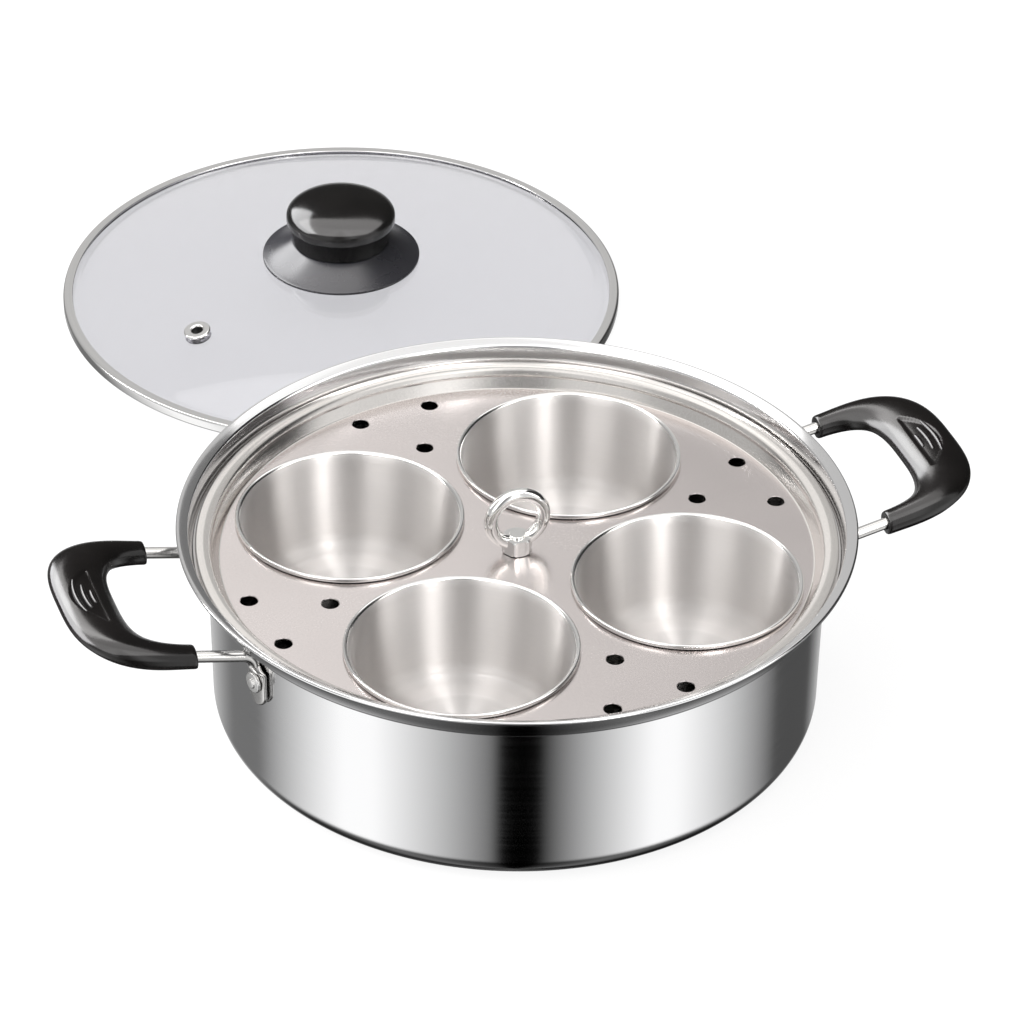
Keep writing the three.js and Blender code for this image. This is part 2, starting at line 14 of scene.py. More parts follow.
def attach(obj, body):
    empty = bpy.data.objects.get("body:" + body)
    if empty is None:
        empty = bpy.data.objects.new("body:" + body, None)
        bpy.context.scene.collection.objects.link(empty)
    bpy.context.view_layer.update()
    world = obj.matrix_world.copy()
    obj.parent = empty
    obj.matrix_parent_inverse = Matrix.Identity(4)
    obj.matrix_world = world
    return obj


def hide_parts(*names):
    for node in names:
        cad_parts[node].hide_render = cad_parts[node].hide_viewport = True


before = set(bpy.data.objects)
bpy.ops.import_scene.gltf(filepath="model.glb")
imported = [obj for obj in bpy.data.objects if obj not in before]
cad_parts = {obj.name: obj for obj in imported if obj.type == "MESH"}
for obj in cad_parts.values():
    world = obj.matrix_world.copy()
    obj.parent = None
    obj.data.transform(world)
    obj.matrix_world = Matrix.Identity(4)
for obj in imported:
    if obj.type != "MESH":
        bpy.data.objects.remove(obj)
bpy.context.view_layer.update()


# Pot. One drawn sheet of stainless steel with a flat pressed base, a stepped shoulder that carries the
# tray and the lid, and an edge that is rolled outwards. Mirror polished outside, satin inside.
pot_height, wall_radius, wall_draft, base_corner, pot_sheet = 85.0, 120.6, 0.9, 11.0, 0.8
ledge_top, ledge_width, shoulder_fillet = 75.2, 6.4, 1.2
flare_radius, rim_radius, lip_thickness, lip_tilt = 128.6, 132.5, 1.7, 27.0
base_recess, base_recess_radius = 0.4, 78.0


def arc(x, z, radius, start, end, count=9):
    """Points on a circle in a section of radius and height, from one angle to another in degrees."""
    turn = np.radians(np.linspace(start, end, count))
    return np.stack([x + radius * np.cos(turn), z + radius * np.sin(turn)], 1)


def section(*runs):
    """One section line from single points and rows of points."""
    return np.vstack([np.atleast_2d(np.array(run, float)) for run in runs])


def soften(before, corner, after, cut=0.5, count=5):
    """Rounds a corner of a section: a quadratic curve that leaves each side a cut away from the corner."""
    before, corner, after = (np.array(spot, float) for spot in (before, corner, after))
    start = corner + cut * (before - corner) / np.linalg.norm(before - corner)
    end = corner + cut * (after - corner) / np.linalg.norm(after - corner)
    share = np.linspace(0, 1, count)[:, None]
    return (1 - share) ** 2 * start + 2 * share * (1 - share) * corner + share ** 2 * end


def spin(line, centre=(0.0, 0.0), around=192):
    """Carries a section round an upright axis: x = r cos t, y = r sin t, with the height kept."""
    turn = np.linspace(0, 2 * np.pi, around + 1)
    radius, height = line[:, :1], line[:, 1:]
    x, y = centre[0] + radius * np.cos(turn), centre[1] + radius * np.sin(turn)
    return np.stack([x, y, height + 0 * turn], 2)


def quads_of(index):
    """Quads between neighbouring rows and columns of a grid of point numbers."""
    return np.stack([index[:-1, :-1], index[:-1, 1:], index[1:, 1:], index[1:, :-1]], 2).reshape(-1, 4)


def skin(name, *grids, inner_from=None, sharp=38.0):
    """Quads between the rows and columns of grids of points. Equal points merge, so seams and poles
    close. The UV map holds the share of a turn across and the metres along the rows. Rows from
    inner_from on take the second finish."""
    points, quads, marks, inner = [], [], [], []
    start = 0
    for grid in grids:
        rows, columns = grid.shape[:2]
        index = start + np.arange(rows * columns).reshape(rows, columns)
        quads.append(quads_of(index))
        step = np.linalg.norm(np.diff(grid, axis=0), axis=2).mean(1)
        along = np.concatenate([[0.0], np.cumsum(step)]) * 0.001
        across = np.linspace(0, 1, columns)
        marks.append(np.stack(np.broadcast_arrays(across, along[:, None]), 2).reshape(-1, 2))
        second = np.arange(rows - 1) >= (rows if inner_from is None else inner_from)
        inner.append(np.repeat(second.astype(np.int32), columns - 1))
        points.append(grid.reshape(-1, 3) * 0.001)
        start += rows * columns
    points, quads, marks = np.vstack(points), np.vstack(quads), np.vstack(marks)
    mesh = bpy.data.meshes.new(name)
    mesh.from_pydata(points.tolist(), [], quads.tolist())
    layer = mesh.uv_layers.new(name="surface")
    layer.data.foreach_set("uv", marks[quads.ravel()].ravel().astype(np.float32))
    mesh.polygons.foreach_set("material_index", np.concatenate(inner))
    return close(name, mesh, sharp)


def close(name, mesh, sharp):
    """Merges equal points, turns the faces outwards, shades smooth up to an angle and adds the piece."""
    shape = bmesh.new()
    shape.from_mesh(mesh)
    bmesh.ops.remove_doubles(shape, verts=shape.verts, dist=2e-6)
    bmesh.ops.recalc_face_normals(shape, faces=shape.faces)
    shape.to_mesh(mesh)
    shape.free()
    mesh.polygons.foreach_set("use_smooth", np.ones(len(mesh.polygons), bool))
    mesh.set_sharp_from_angle(angle=np.radians(sharp))
    piece = bpy.data.objects.new(name, mesh)
    bpy.context.scene.collection.objects.link(piece)
    return piece


def fit(piece, finishes, body, slot, *nodes):
    """Gives a piece its finishes, sets it on its body and lets it stand for its solids."""
    for finish in finishes:
        piece.data.materials.append(finish)
    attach(piece, body)
    if nodes:
        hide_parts(*nodes)
    return piece


def add(tree, kind, inputs, **options):
    """Adds one shader node, sets its options, and sets or links its inputs by name or number."""
    node = tree.nodes.new("ShaderNode" + kind)
    for option, value in options.items():
        setattr(node, option, value)
    for socket, value in inputs.items():
        if isinstance(value, bpy.types.NodeSocket):
            tree.links.new(value, node.inputs[socket])
        else:
            node.inputs[socket].default_value = value
    return node


def blank(name):
    """Opens a new finish: the material, its tree, its shader and its coordinates."""
    finish = bpy.data.materials.new(name)
    finish.use_nodes = True
    tree = finish.node_tree
    return finish, tree, tree.nodes["Principled BSDF"], add(tree, "TexCoord", {})


def turned_steel(name, colour, roughness, lines, sweep, depth, stretch, mottle=0.04):
    """Stainless steel with turning lines: noise that is long round the piece and fine along its section
    shades the colour, moves the roughness and lifts a small bump. A slow noise adds wiping marks."""
    finish, tree, shader, place = blank(name)
    spot = add(tree, "SeparateXYZ", {0: place.outputs["Object"]})
    track = add(tree, "SeparateXYZ", {0: place.outputs["UV"]})
    x = add(tree, "Math", {0: spot.outputs[0], 1: sweep}, operation="MULTIPLY")
    y = add(tree, "Math", {0: spot.outputs[1], 1: sweep}, operation="MULTIPLY")
    z = add(tree, "Math", {0: track.outputs[1], 1: lines}, operation="MULTIPLY")
    where = add(tree, "CombineXYZ", {0: x.outputs[0], 1: y.outputs[0], 2: z.outputs[0]})
    grain = add(tree, "TexNoise", {"Vector": where.outputs[0], "Scale": 1.0, "Detail": 3.0})
    wiping = add(tree, "TexNoise", {"Vector": place.outputs["Object"], "Scale": 22.0, "Detail": 4.0})
    both = add(tree, "Math", {0: grain.outputs[0], 1: wiping.outputs[0]}, operation="ADD")
    shade = add(tree, "MapRange", {0: both.outputs[0], 1: 0.6, 2: 1.4, 3: 1 - mottle, 4: 1 + mottle})
    tint = add(tree, "VectorMath", {0: colour, 3: shade.outputs[0]}, operation="SCALE")
    tree.links.new(tint.outputs[0], shader.inputs["Base Color"])
    smooth, dull = roughness * 0.75, roughness * 1.3
    rough = add(tree, "MapRange", {0: both.outputs[0], 1: 0.6, 2: 1.4, 3: smooth, 4: dull})
    tree.links.new(rough.outputs[0], shader.inputs["Roughness"])
    bump = add(tree, "Bump", {"Height": grain.outputs[0], "Strength": depth, "Distance": 0.0001})
    tree.links.new(bump.outputs[0], shader.inputs["Normal"])
    shader.inputs["Metallic"].default_value = 1.0
    shader.inputs["Anisotropic"].default_value = stretch
    shader.inputs["Anisotropic Rotation"].default_value = 0.25
    tangent = add(tree, "Tangent", {}, direction_type="UV_MAP", uv_map="surface")
    tree.links.new(tangent.outputs[0], shader.inputs["Tangent"])
    return finish


polished_wall = turned_steel("polished_wall", (0.86, 0.86, 0.865), 0.12, 900.0, 6.0, 0.012, 0.0, 0.012)
satin_inside = turned_steel("satin_inside", (0.82, 0.80, 0.79), 0.22, 1400.0, 8.0, 0.12, 0.4)

foot = wall_radius - wall_draft - base_corner
step_x, step_z = wall_radius + shoulder_fillet, ledge_top - pot_sheet - shoulder_fillet
heel_x, heel_z = wall_radius + ledge_width - shoulder_fillet, ledge_top - pot_sheet + shoulder_fillet
flare_foot = heel_x + shoulder_fillet
bead = lip_thickness / 2
tilt = np.radians(lip_tilt)
lip_top = np.array([rim_radius - bead - bead * np.sin(tilt), pot_height - bead + bead * np.cos(tilt)])
lip_run = lip_top[0] - (flare_radius - pot_sheet)
lip_inner = lip_top - lip_run * np.array([1, np.tan(tilt)])
lip_root = lip_inner + (pot_sheet, -pot_sheet)
pot_outside = section(
    (0, base_recess), (base_recess_radius, base_recess), (base_recess_radius + 2, base_recess / 2),
    (base_recess_radius + 4, 0), (foot - 1, 0),
    arc(foot, base_corner, base_corner, -90, 0, 17),
    arc(step_x, step_z, shoulder_fillet, 180, 90),
    arc(heel_x, heel_z, shoulder_fillet, -90, 0),
    soften((flare_foot, heel_z), lip_root, (rim_radius - bead, pot_height - lip_thickness), 0.9),
    arc(rim_radius - bead, pot_height - bead, bead, -90, 90 + lip_tilt, 15),
    soften(lip_top, lip_inner, (flare_foot - pot_sheet, heel_z), 0.7, 7),
    arc(heel_x, heel_z, shoulder_fillet - pot_sheet, 0, -90),
)
pot_inside = section(
    arc(step_x, step_z, shoulder_fillet + pot_sheet, 90, 180),
    arc(foot, base_corner, base_corner - pot_sheet, 0, -90, 17),
    (base_recess_radius + 4, pot_sheet), (base_recess_radius + 2, pot_sheet + base_recess / 2),
    (base_recess_radius, pot_sheet + base_recess), (0, pot_sheet + base_recess),
)
pot_grid = spin(section(pot_outside, pot_inside), around=256)
pot_shell = skin("pot_shell", pot_grid, inner_from=len(pot_outside) - 1)
fit(pot_shell, [polished_wall, satin_inside], "pot", "pot_steel", "pot_body")


# Handle brackets. Each is one bent steel wire, 4.6 mm thick. Its ends are flattened into round-ended
# tabs that lie on the wall, and it runs out under the rim, into the grip and back.
wire_radius, wire_offset, bend_radius = 2.3, 35.9, 5.0
tab_width, tab_thickness, tab_end, rivet_height = 10.6, 2.2, 48.5, 59.0
seat_gap, rivet_head_radius = 0.3, 4.3
grip_slope = np.radians(11.8)
grip_start, grip_arm_width, grip_reach, grip_eye_depth = 141.9, 12.2, 42.15, 19.5
outer_squareness, inner_squareness = 3.1, 3.15
bend_top = ledge_top - pot_sheet - seat_gap - wire_radius
bend_foot = bend_top - bend_radius * np.cos(grip_slope)


def wall_at(height):
    """Outer radius of the pot's drafted wall at a height."""
    return wall_radius - wall_draft * (1 - (height - base_corner) / (step_z - base_corner))


def powered(value, squareness):
    """Signed power that turns a circle's sine and cosine into a round-cornered square's."""
    return np.sign(value) * np.abs(value) ** (2.0 / squareness)


def tube(centre, wide, thick, half_width, half_thickness, squareness, around=32):
    """Round-cornered rings: centre + wide a cos t + thick b sin t, with powered sine and cosine."""
    turn = np.linspace(0, 2 * np.pi, around + 1)
    across = powered(np.cos(turn)[None], squareness[:, None]) * half_width[:, None]
    over = powered(np.sin(turn)[None], squareness[:, None]) * half_thickness[:, None]
    return centre[:, None] + wide[:, None] * across[..., None] + thick[:, None] * over[..., None]


def half_oval(angle, reach, half_width, squareness):
    """Half an oval from one arm's end to the other's, with powered sine and cosine."""
    x = grip_start + reach * powered(np.sin(angle), squareness)
    return np.stack([x, half_width * powered(np.cos(angle), squareness)], 1)


def grip_edges(angle):
    """Outer and inner outline of the horseshoe grip, half an arm's width either side of the wire."""
    outside = half_oval(angle, grip_reach, wire_offset + grip_arm_width / 2, outer_squareness)
    inside = half_oval(angle, grip_eye_depth, wire_offset - grip_arm_width / 2, inner_squareness)
    return outside, inside


def grip_plane(x):
    """Height of the sloping plane that the wire and the grip lie in."""
    return grip_height + (x - grip_start) * np.tan(grip_slope)


def even_angles(count, end):
    """Angles from one arm's end that are evenly spaced along the middle of the grip."""
    dense = np.linspace(0, end, 4001)
    middle = np.mean(grip_edges(dense), axis=0)
    length = np.concatenate([[0.0], np.cumsum(np.linalg.norm(np.diff(middle, axis=0), axis=1))])
    return np.interp(np.linspace(0, length[-1], count), length, dense)


half_tab = tab_width / 2
nose = np.linspace(0, np.pi / 2, 12)
neck = np.linspace(0, 1, 16)
ease = neck ** 2 * (3 - 2 * neck)
tab_top = rivet_height + rivet_head_radius
tab_z = np.concatenate([tab_end + half_tab * (1 - np.cos(nose)), tab_top + (bend_foot - tab_top) * neck])
tab_share = np.concatenate([np.sin(nose), 1 + (wire_radius / half_tab - 1) * neck ** 3])
tab_round = np.concatenate([0 * nose, ease])
tab_reach_to = wall_at(rivet_height) + seat_gap + tab_thickness / 2
tab_turn = np.arcsin(wire_offset / tab_reach_to)
tab_half = tab_thickness / 2 + (wire_radius - tab_thickness / 2) * tab_round
tab_reach = np.sqrt((wall_at(tab_z) + seat_gap + tab_half) ** 2 - wire_offset ** 2)
tab_centre = np.stack([tab_reach, wire_offset + 0 * tab_z, tab_z], 1)
tab_aim = tab_turn * (1 - tab_round)
tab_wide = np.stack([-np.sin(tab_aim), np.cos(tab_aim), 0 * tab_aim], 1)
tab_thick = np.stack([np.cos(tab_aim), np.sin(tab_aim), 0 * tab_aim], 1)

bend = np.linspace(np.pi, np.pi / 2 + grip_slope, 15)[1:]
bend_x = tab_reach[-1] + bend_radius
grip_height = bend_top + (grip_start - bend_x + bend_radius * np.sin(grip_slope)) * np.tan(grip_slope)
bend_out, bend_up = bend_radius * np.cos(bend), bend_radius * np.sin(bend)
bend_centre = np.stack([bend_x + bend_out, wire_offset + 0 * bend, bend_foot + bend_up], 1)
bend_thick = np.stack([-np.cos(bend), 0 * bend, -np.sin(bend)], 1)

run = even_angles(60, np.pi / 2)
run_middle = np.mean(grip_edges(run), axis=0)
run_centre = np.column_stack([run_middle, grip_plane(run_middle[:, 0])])
run_along = np.gradient(run_centre, axis=0)
down = np.array([np.sin(grip_slope), 0, -np.cos(grip_slope)])
run_wide = np.cross(run_along, down)
run_wide /= np.linalg.norm(run_wide, axis=1)[:, None]
run_wide[0] = (0, 1, 0)
run_wide[-1] = (np.cos(grip_slope), 0, np.sin(grip_slope))

wire_rings = tube(
    np.vstack([tab_centre, bend_centre, run_centre]),
    np.vstack([tab_wide, np.tile((0, 1, 0), (len(bend), 1)), run_wide]),
    np.vstack([tab_thick, bend_thick, np.tile(down, (len(run), 1))]),
    np.concatenate([half_tab * tab_share, np.full(len(bend) + len(run), wire_radius)]),
    np.concatenate([tab_half, np.full(len(bend) + len(run), wire_radius)]),
    np.concatenate([4 - 2 * tab_round, np.full(len(bend) + len(run), 2.0)]),
)
wire_rings = np.concatenate([wire_rings, wire_rings[-2::-1] * (1, -1, 1)])
half_turn = np.array([-1, -1, 1])

bright_wire = turned_steel("bright_wire", (0.74, 0.73, 0.715), 0.2, 500.0, 90.0, 0.02, 0.0)
for side, place in (("right", 1), ("left", half_turn)):
    bracket = skin(f"wire_bracket_{side}", wire_rings * place)
    fit(bracket, [bright_wire], "pot", "bright_steel", f"handle_bracket_{side}")


# Grips. Glossy black phenolic, moulded round the wire as a sloping horseshoe. A parting step runs round
# the lower edge, and the broad outer bend has a sunk leaf-shaped panel with three raised arcs.
grip_arm_height, grip_bar_height, grip_end_round, grip_end_share, grip_taper = 11.0, 9.4, 1.4, 0.9, 0.17
grip_squareness, parting_place, parting_blend, parting_step = 2.1, 0.28, 0.05, 0.035
panel_inner, panel_outer, panel_half_length, panel_depth, panel_edge = 167.4, 178.6, 19.0, 0.5, 1.3
rib_places, rib_halves = (176.3, 173.0, 169.9), (11.0, 8.2, 4.6)
rib_radius, rib_width, rib_rise = 42.0, 0.95, 0.65


def grip_rings(angle, pull, scale, around=96):
    """Rings between the grip's two outlines: a powered oval section, pulled back and scaled at the ends,
    with a step under the parting line and the panel sunk into the top."""
    outside, inside = grip_edges(angle)
    scale = scale * (1 - grip_taper * (1 - np.sin(angle)) ** 3)
    middle, half = (outside + inside) / 2, (outside - inside) / 2 * scale[:, None]
    height = 0.5 * scale * (grip_arm_height + (grip_bar_height - grip_arm_height) * np.sin(angle) ** 2)
    turn = np.linspace(0, 2 * np.pi, around + 1)
    lower = 0.5 - 0.5 * np.tanh((np.sin(turn) + parting_place) / parting_blend)
    across = powered(np.cos(turn), grip_squareness) * (1 - parting_step * lower)
    over = powered(np.sin(turn), grip_squareness)
    x = middle[:, :1] + half[:, :1] * across - pull[:, None]
    y = middle[:, 1:] + half[:, 1:] * across
    bow = panel_outer - (panel_outer - panel_inner) * (y / panel_half_length) ** 2
    leaf = np.minimum(x - panel_inner, bow - x)
    step = np.clip(leaf / panel_edge, 0, 1)
    sunk = panel_depth * step ** 2 * (3 - 2 * step) * (over > 0.2)
    return np.stack([x, y, grip_plane(x) + height[:, None] * over - sunk], 2)


def bore_rings(angle, pull, around=96):
    """Round rings inside the grip, a fit wider than the wire."""
    outside, inside = grip_edges(angle)
    middle, half = (outside + inside) / 2, outside - inside
    half /= np.linalg.norm(half, axis=1)[:, None]
    turn = np.linspace(0, 2 * np.pi, around + 1)
    radius = wire_radius + seat_gap
    x = middle[:, :1] + half[:, :1] * radius * np.cos(turn) - pull[:, None]
    y = middle[:, 1:] + half[:, 1:] * radius * np.cos(turn)
    return np.stack([x, y, grip_plane(x) + radius * np.sin(turn)], 2)


swell = np.linspace(0, np.pi / 2, 7)[:-1]
end_pull, end_scale = grip_end_round * np.cos(swell), grip_end_share + (1 - grip_end_share) * np.sin(swell)
path = even_angles(321, np.pi)
first, last = np.zeros(len(swell)), np.full(len(swell), np.pi)
tip = np.array([grip_end_round])
grip_grid = np.concatenate([
    bore_rings(np.zeros(1), tip),
    grip_rings(first, end_pull, end_scale),
    grip_rings(path, 0 * path, 1 + 0 * path),
    grip_rings(last, end_pull[::-1], end_scale[::-1]),
    bore_rings(np.full(1, np.pi), tip),
    bore_rings(path[::-4], 0 * path[::-4]),
    bore_rings(np.zeros(1), tip),
])
grip_top = grip_rings(path, 0 * path, 1 + 0 * path)[:, 2:47].reshape(-1, 3)


def rib(place, half_length):
    """A raised arc: a half-round ridge swept along a circle across the panel, thinning to its ends."""
    share = np.sin(np.linspace(-np.pi / 2, np.pi / 2, 33))
    y = half_length * share
    x = place - y ** 2 / (2 * rib_radius)
    gap = np.linalg.norm(grip_top[None, :, :2] - np.stack([x, y], 1)[:, None], axis=2)
    z = grip_top[np.argmin(gap, axis=1), 2]
    z = np.convolve(np.pad(z, 2, mode="edge"), np.full(5, 0.2), mode="valid")
    thin = np.sqrt(np.clip(1 - share ** 2, 0, 1)) ** 0.5
    turn = np.linspace(0, 2 * np.pi, 17)
    ring_x = x[:, None] + rib_width * thin[:, None] * np.cos(turn)
    ring_z = z[:, None] + rib_rise * thin[:, None] * np.sin(turn) + (ring_x - x[:, None]) * np.tan(grip_slope)
    return np.stack([ring_x, y[:, None] + 0 * turn, ring_z], 2)


def phenolic(name, dark, worn, roughness, grain):
    """Moulded black plastic: soft clouds between two near blacks, a roughness that drifts with wiping,
    and a very fine moulded skin as a bump."""
    finish, tree, shader, place = blank(name)
    clouds = add(tree, "TexNoise", {"Vector": place.outputs["Object"], "Scale": 55.0, "Detail": 5.0})
    tint = add(tree, "Mix", {0: clouds.outputs[0], 6: (*dark, 1), 7: (*worn, 1)}, data_type="RGBA")
    tree.links.new(tint.outputs[2], shader.inputs["Base Color"])
    smooth, dull = roughness * 0.8, roughness * 1.25
    rough = add(tree, "MapRange", {0: clouds.outputs[0], 1: 0.3, 2: 0.7, 3: smooth, 4: dull})
    tree.links.new(rough.outputs[0], shader.inputs["Roughness"])
    pores = add(tree, "TexNoise", {"Vector": place.outputs["Object"], "Scale": grain, "Detail": 2.0})
    bump = add(tree, "Bump", {"Height": pores.outputs[0], "Strength": 0.06, "Distance": 0.0002})
    tree.links.new(bump.outputs[0], shader.inputs["Normal"])
    shader.inputs["IOR"].default_value = 1.58
    return finish


grip_black = phenolic("grip_black", (0.003, 0.0028, 0.0028), (0.007, 0.006, 0.0055), 0.17, 900.0)
for side, place in (("right", 1), ("left", half_turn)):
    grip = skin(f"moulded_grip_{side}", grip_grid * place)
    fit(grip, [grip_black], "pot", "black_bakelite", f"handle_grip_{side}")
    ribs = skin(f"grip_arcs_{side}", *[rib(at, half) * place for at, half in zip(rib_places, rib_halves)])
    fit(ribs, [grip_black], "pot", "black_bakelite")


# Rivets. Solid steel, one through each tab and the wall: a flat pan head outside with a raised middle, a
# plain shank, and a flat head that is closed inside the pot.
rivet_shank, rivet_head_height, rivet_foot_radius, rivet_foot_height, rivet_seat = 2.2, 2.2, 3.6, 1.2, 0.6


def aim(grid, place, axis):
    """Turns a grid from the upright axis to another axis and moves it to a place."""
    turn = Vector((0, 0, 1)).rotation_difference(Vector(axis)).to_matrix()
    return grid @ np.array(turn).T + np.array(place)


rivet_wall = wall_at(rivet_height)
rivet_under = rivet_wall + 2 * seat_gap + tab_thickness
rivet_inner = rivet_wall - pot_sheet - rivet_seat
rivet_foot, rivet_top = rivet_inner - rivet_foot_height, rivet_under + rivet_head_height
rivet_pan, rivet_boss_radius = rivet_under + 1.3, 2.1
foot_round, pan_round, boss_round = 0.4, 0.6, 0.7
rivet_line = section(
    (0, rivet_foot), (rivet_foot_radius - foot_round, rivet_foot),
    (rivet_foot_radius, rivet_foot + foot_round), (rivet_foot_radius, rivet_inner),
    (rivet_shank, rivet_inner), (rivet_shank, rivet_under), (rivet_head_radius - 0.1, rivet_under),
    arc(rivet_head_radius - pan_round, rivet_pan - pan_round, pan_round, 0, 90, 7),
    (rivet_boss_radius + 0.5, rivet_pan - 0.1), (rivet_boss_radius + 0.1, rivet_pan),
    arc(rivet_boss_radius - boss_round, rivet_top - boss_round, boss_round, 0, 90, 7), (0, rivet_top),
)
rivet_grid = spin(rivet_line, around=48)
rivet_steel = turned_steel("rivet_steel", (0.83, 0.825, 0.815), 0.36, 900.0, 60.0, 0.03, 0.0)
for side, out in (("right", 1), ("left", -1)):
    for end, hand in (("a", 1), ("b", -1)):
        away = (out * np.cos(tab_turn), out * hand * np.sin(tab_turn), 0)
        rivet = skin(f"rivet_{side}_{end}", aim(rivet_grid, (0, 0, rivet_height), away))
        fit(rivet, [rivet_steel], "pot", "bright_steel", f"handle_rivet_{side}_{end}")


# Steamer tray. A pressed stainless sheet that drops into the pot: four holes for the cups, twelve punched
# steam holes, and a low wall whose lip rolls out over the pot's ledge and turns down at its edge.
tray_sheet, tray_top, tray_flat_radius, tray_fillet = 0.8, 70.0, 117.2, 1.5
tray_lip_top, tray_roll, tray_edge, tray_edge_height = 77.7, 2.9, 125.2, 2.2
tray_turn = np.radians(-36.9)
cup_ring, tray_hole_radius = 69.006, 43.194
steam_radius, inner_steam_ring, outer_steam_ring, outer_steam_spread = 3.4, 80.6, 108.8, np.radians(8.244)
eye_hole_radius, hole_chamfer = 3.3, 0.25
tray_around = 256


def circle(x, y, radius, count):
    """Points of a level circle."""
    turn = np.linspace(0, 2 * np.pi, count, endpoint=False)
    return np.stack([x + radius * np.cos(turn), y + radius * np.sin(turn)], 1)


quarter = tray_turn + np.arange(4) * np.pi / 2
gap = quarter + np.pi / 4
cup_places = cup_ring * np.stack([np.cos(quarter), np.sin(quarter)], 1)
steam_angles = np.concatenate([gap, gap - outer_steam_spread, gap + outer_steam_spread])
steam_rings = np.repeat([inner_steam_ring, outer_steam_ring, outer_steam_ring], 4)
steam_places = steam_rings[:, None] * np.stack([np.cos(steam_angles), np.sin(steam_angles)], 1)
hole_places = np.vstack([cup_places, steam_places, [(0, 0)]])
hole_radii = np.concatenate([np.full(4, tray_hole_radius), np.full(12, steam_radius), [eye_hole_radius]])
hole_counts = np.concatenate([np.full(4, 128), np.full(12, 36), [36]])


def drilled_plate(edge_radius, places, radii, counts, border=0.6):
    """Level plate with round holes: triangles between its circles, without those that lie in a hole. A
    second circle close to each edge keeps the shading of the edge off the plate."""
    loops = [circle(0, 0, edge_radius, tray_around), circle(0, 0, edge_radius - border, tray_around)]
    for place, radius, count in zip(places, radii, counts):
        loops += [circle(*place, radius, count), circle(*place, radius + border, count)]
    starts = np.concatenate([[0], np.cumsum([len(loop) for loop in loops])])
    numbers = [start + np.arange(len(loop)) for loop, start in zip(loops, starts)]
    edges = np.vstack([np.stack([row, np.roll(row, -1)], 1) for row in numbers])
    points = list(map(Vector, np.vstack(loops)))
    flat, _, faces, *_ = delaunay_2d_cdt(points, edges.tolist(), [], 0, 1e-5)
    flat, faces = np.array(flat), np.array(faces)
    middles = flat[faces].mean(1)
    inside = np.linalg.norm(middles[:, None] - places[None], axis=2) < radii[None]
    return flat, faces[~inside.any(1)]


toe = tray_flat_radius - tray_fillet
roll_x, roll_z = wall_radius - pot_sheet - seat_gap + tray_roll, tray_lip_top - tray_sheet - tray_roll
tray_under, fold = tray_top - tray_sheet, tray_lip_top - tray_sheet
lip_end, lip_break = tray_lip_top - tray_edge_height, 0.15
over_line = section(
    arc(toe, tray_top + tray_fillet - tray_sheet, tray_fillet - tray_sheet, -90, -12, 7),
    arc(roll_x, roll_z, tray_roll + tray_sheet, 180, 90, 13),
    arc(tray_edge - tray_sheet, fold, tray_sheet, 90, 0, 7),
    (tray_edge, lip_end + lip_break), (tray_edge - lip_break, lip_end),
    (tray_edge - tray_sheet, lip_end), (tray_edge - tray_sheet, fold),
    arc(roll_x, roll_z, tray_roll, 90, 180, 11),
    arc(toe, tray_top + tray_fillet - tray_sheet, tray_fillet, -12, -90, 7),
)
plate, faces = drilled_plate(toe, hole_places, hole_radii + hole_chamfer, hole_counts)
upper = np.column_stack([plate, np.full(len(plate), tray_top)])
lower = np.column_stack([plate, np.full(len(plate), tray_under)])
lip_grid = spin(over_line, around=tray_around)
lip_index = 2 * len(plate) + np.arange(lip_grid[..., 0].size).reshape(lip_grid.shape[:2])
lip_quads = quads_of(lip_index).tolist()
tray_points = [upper, lower, lip_grid.reshape(-1, 3)]
tray_faces = faces.tolist() + (faces[:, ::-1] + len(plate)).tolist() + lip_quads
used = 2 * len(plate) + lip_grid[..., 0].size
for place, radius, count in zip(hole_places, hole_radii, hole_counts):
    brink = radius + hole_chamfer
    hole_line = section(
        (brink, tray_top), (radius, tray_top - hole_chamfer),
        (radius, tray_under + hole_chamfer), (brink, tray_under),
    )
    wall = spin(hole_line, place, around=count)
    tray_faces += quads_of(used + np.arange(wall[..., 0].size).reshape(wall.shape[:2])).tolist()
    tray_points.append(wall.reshape(-1, 3))
    used += wall[..., 0].size
tray_mesh = bpy.data.meshes.new("pressed_tray")
tray_mesh.from_pydata((np.vstack(tray_points) * 0.001).tolist(), [], tray_faces)
on_lip = np.zeros(len(tray_faces), np.int32)
on_lip[2 * len(faces):2 * len(faces) + len(lip_quads)] = 1
tray_mesh.polygons.foreach_set("material_index", on_lip)
pressed_tray = close("pressed_tray", tray_mesh, 30.0)


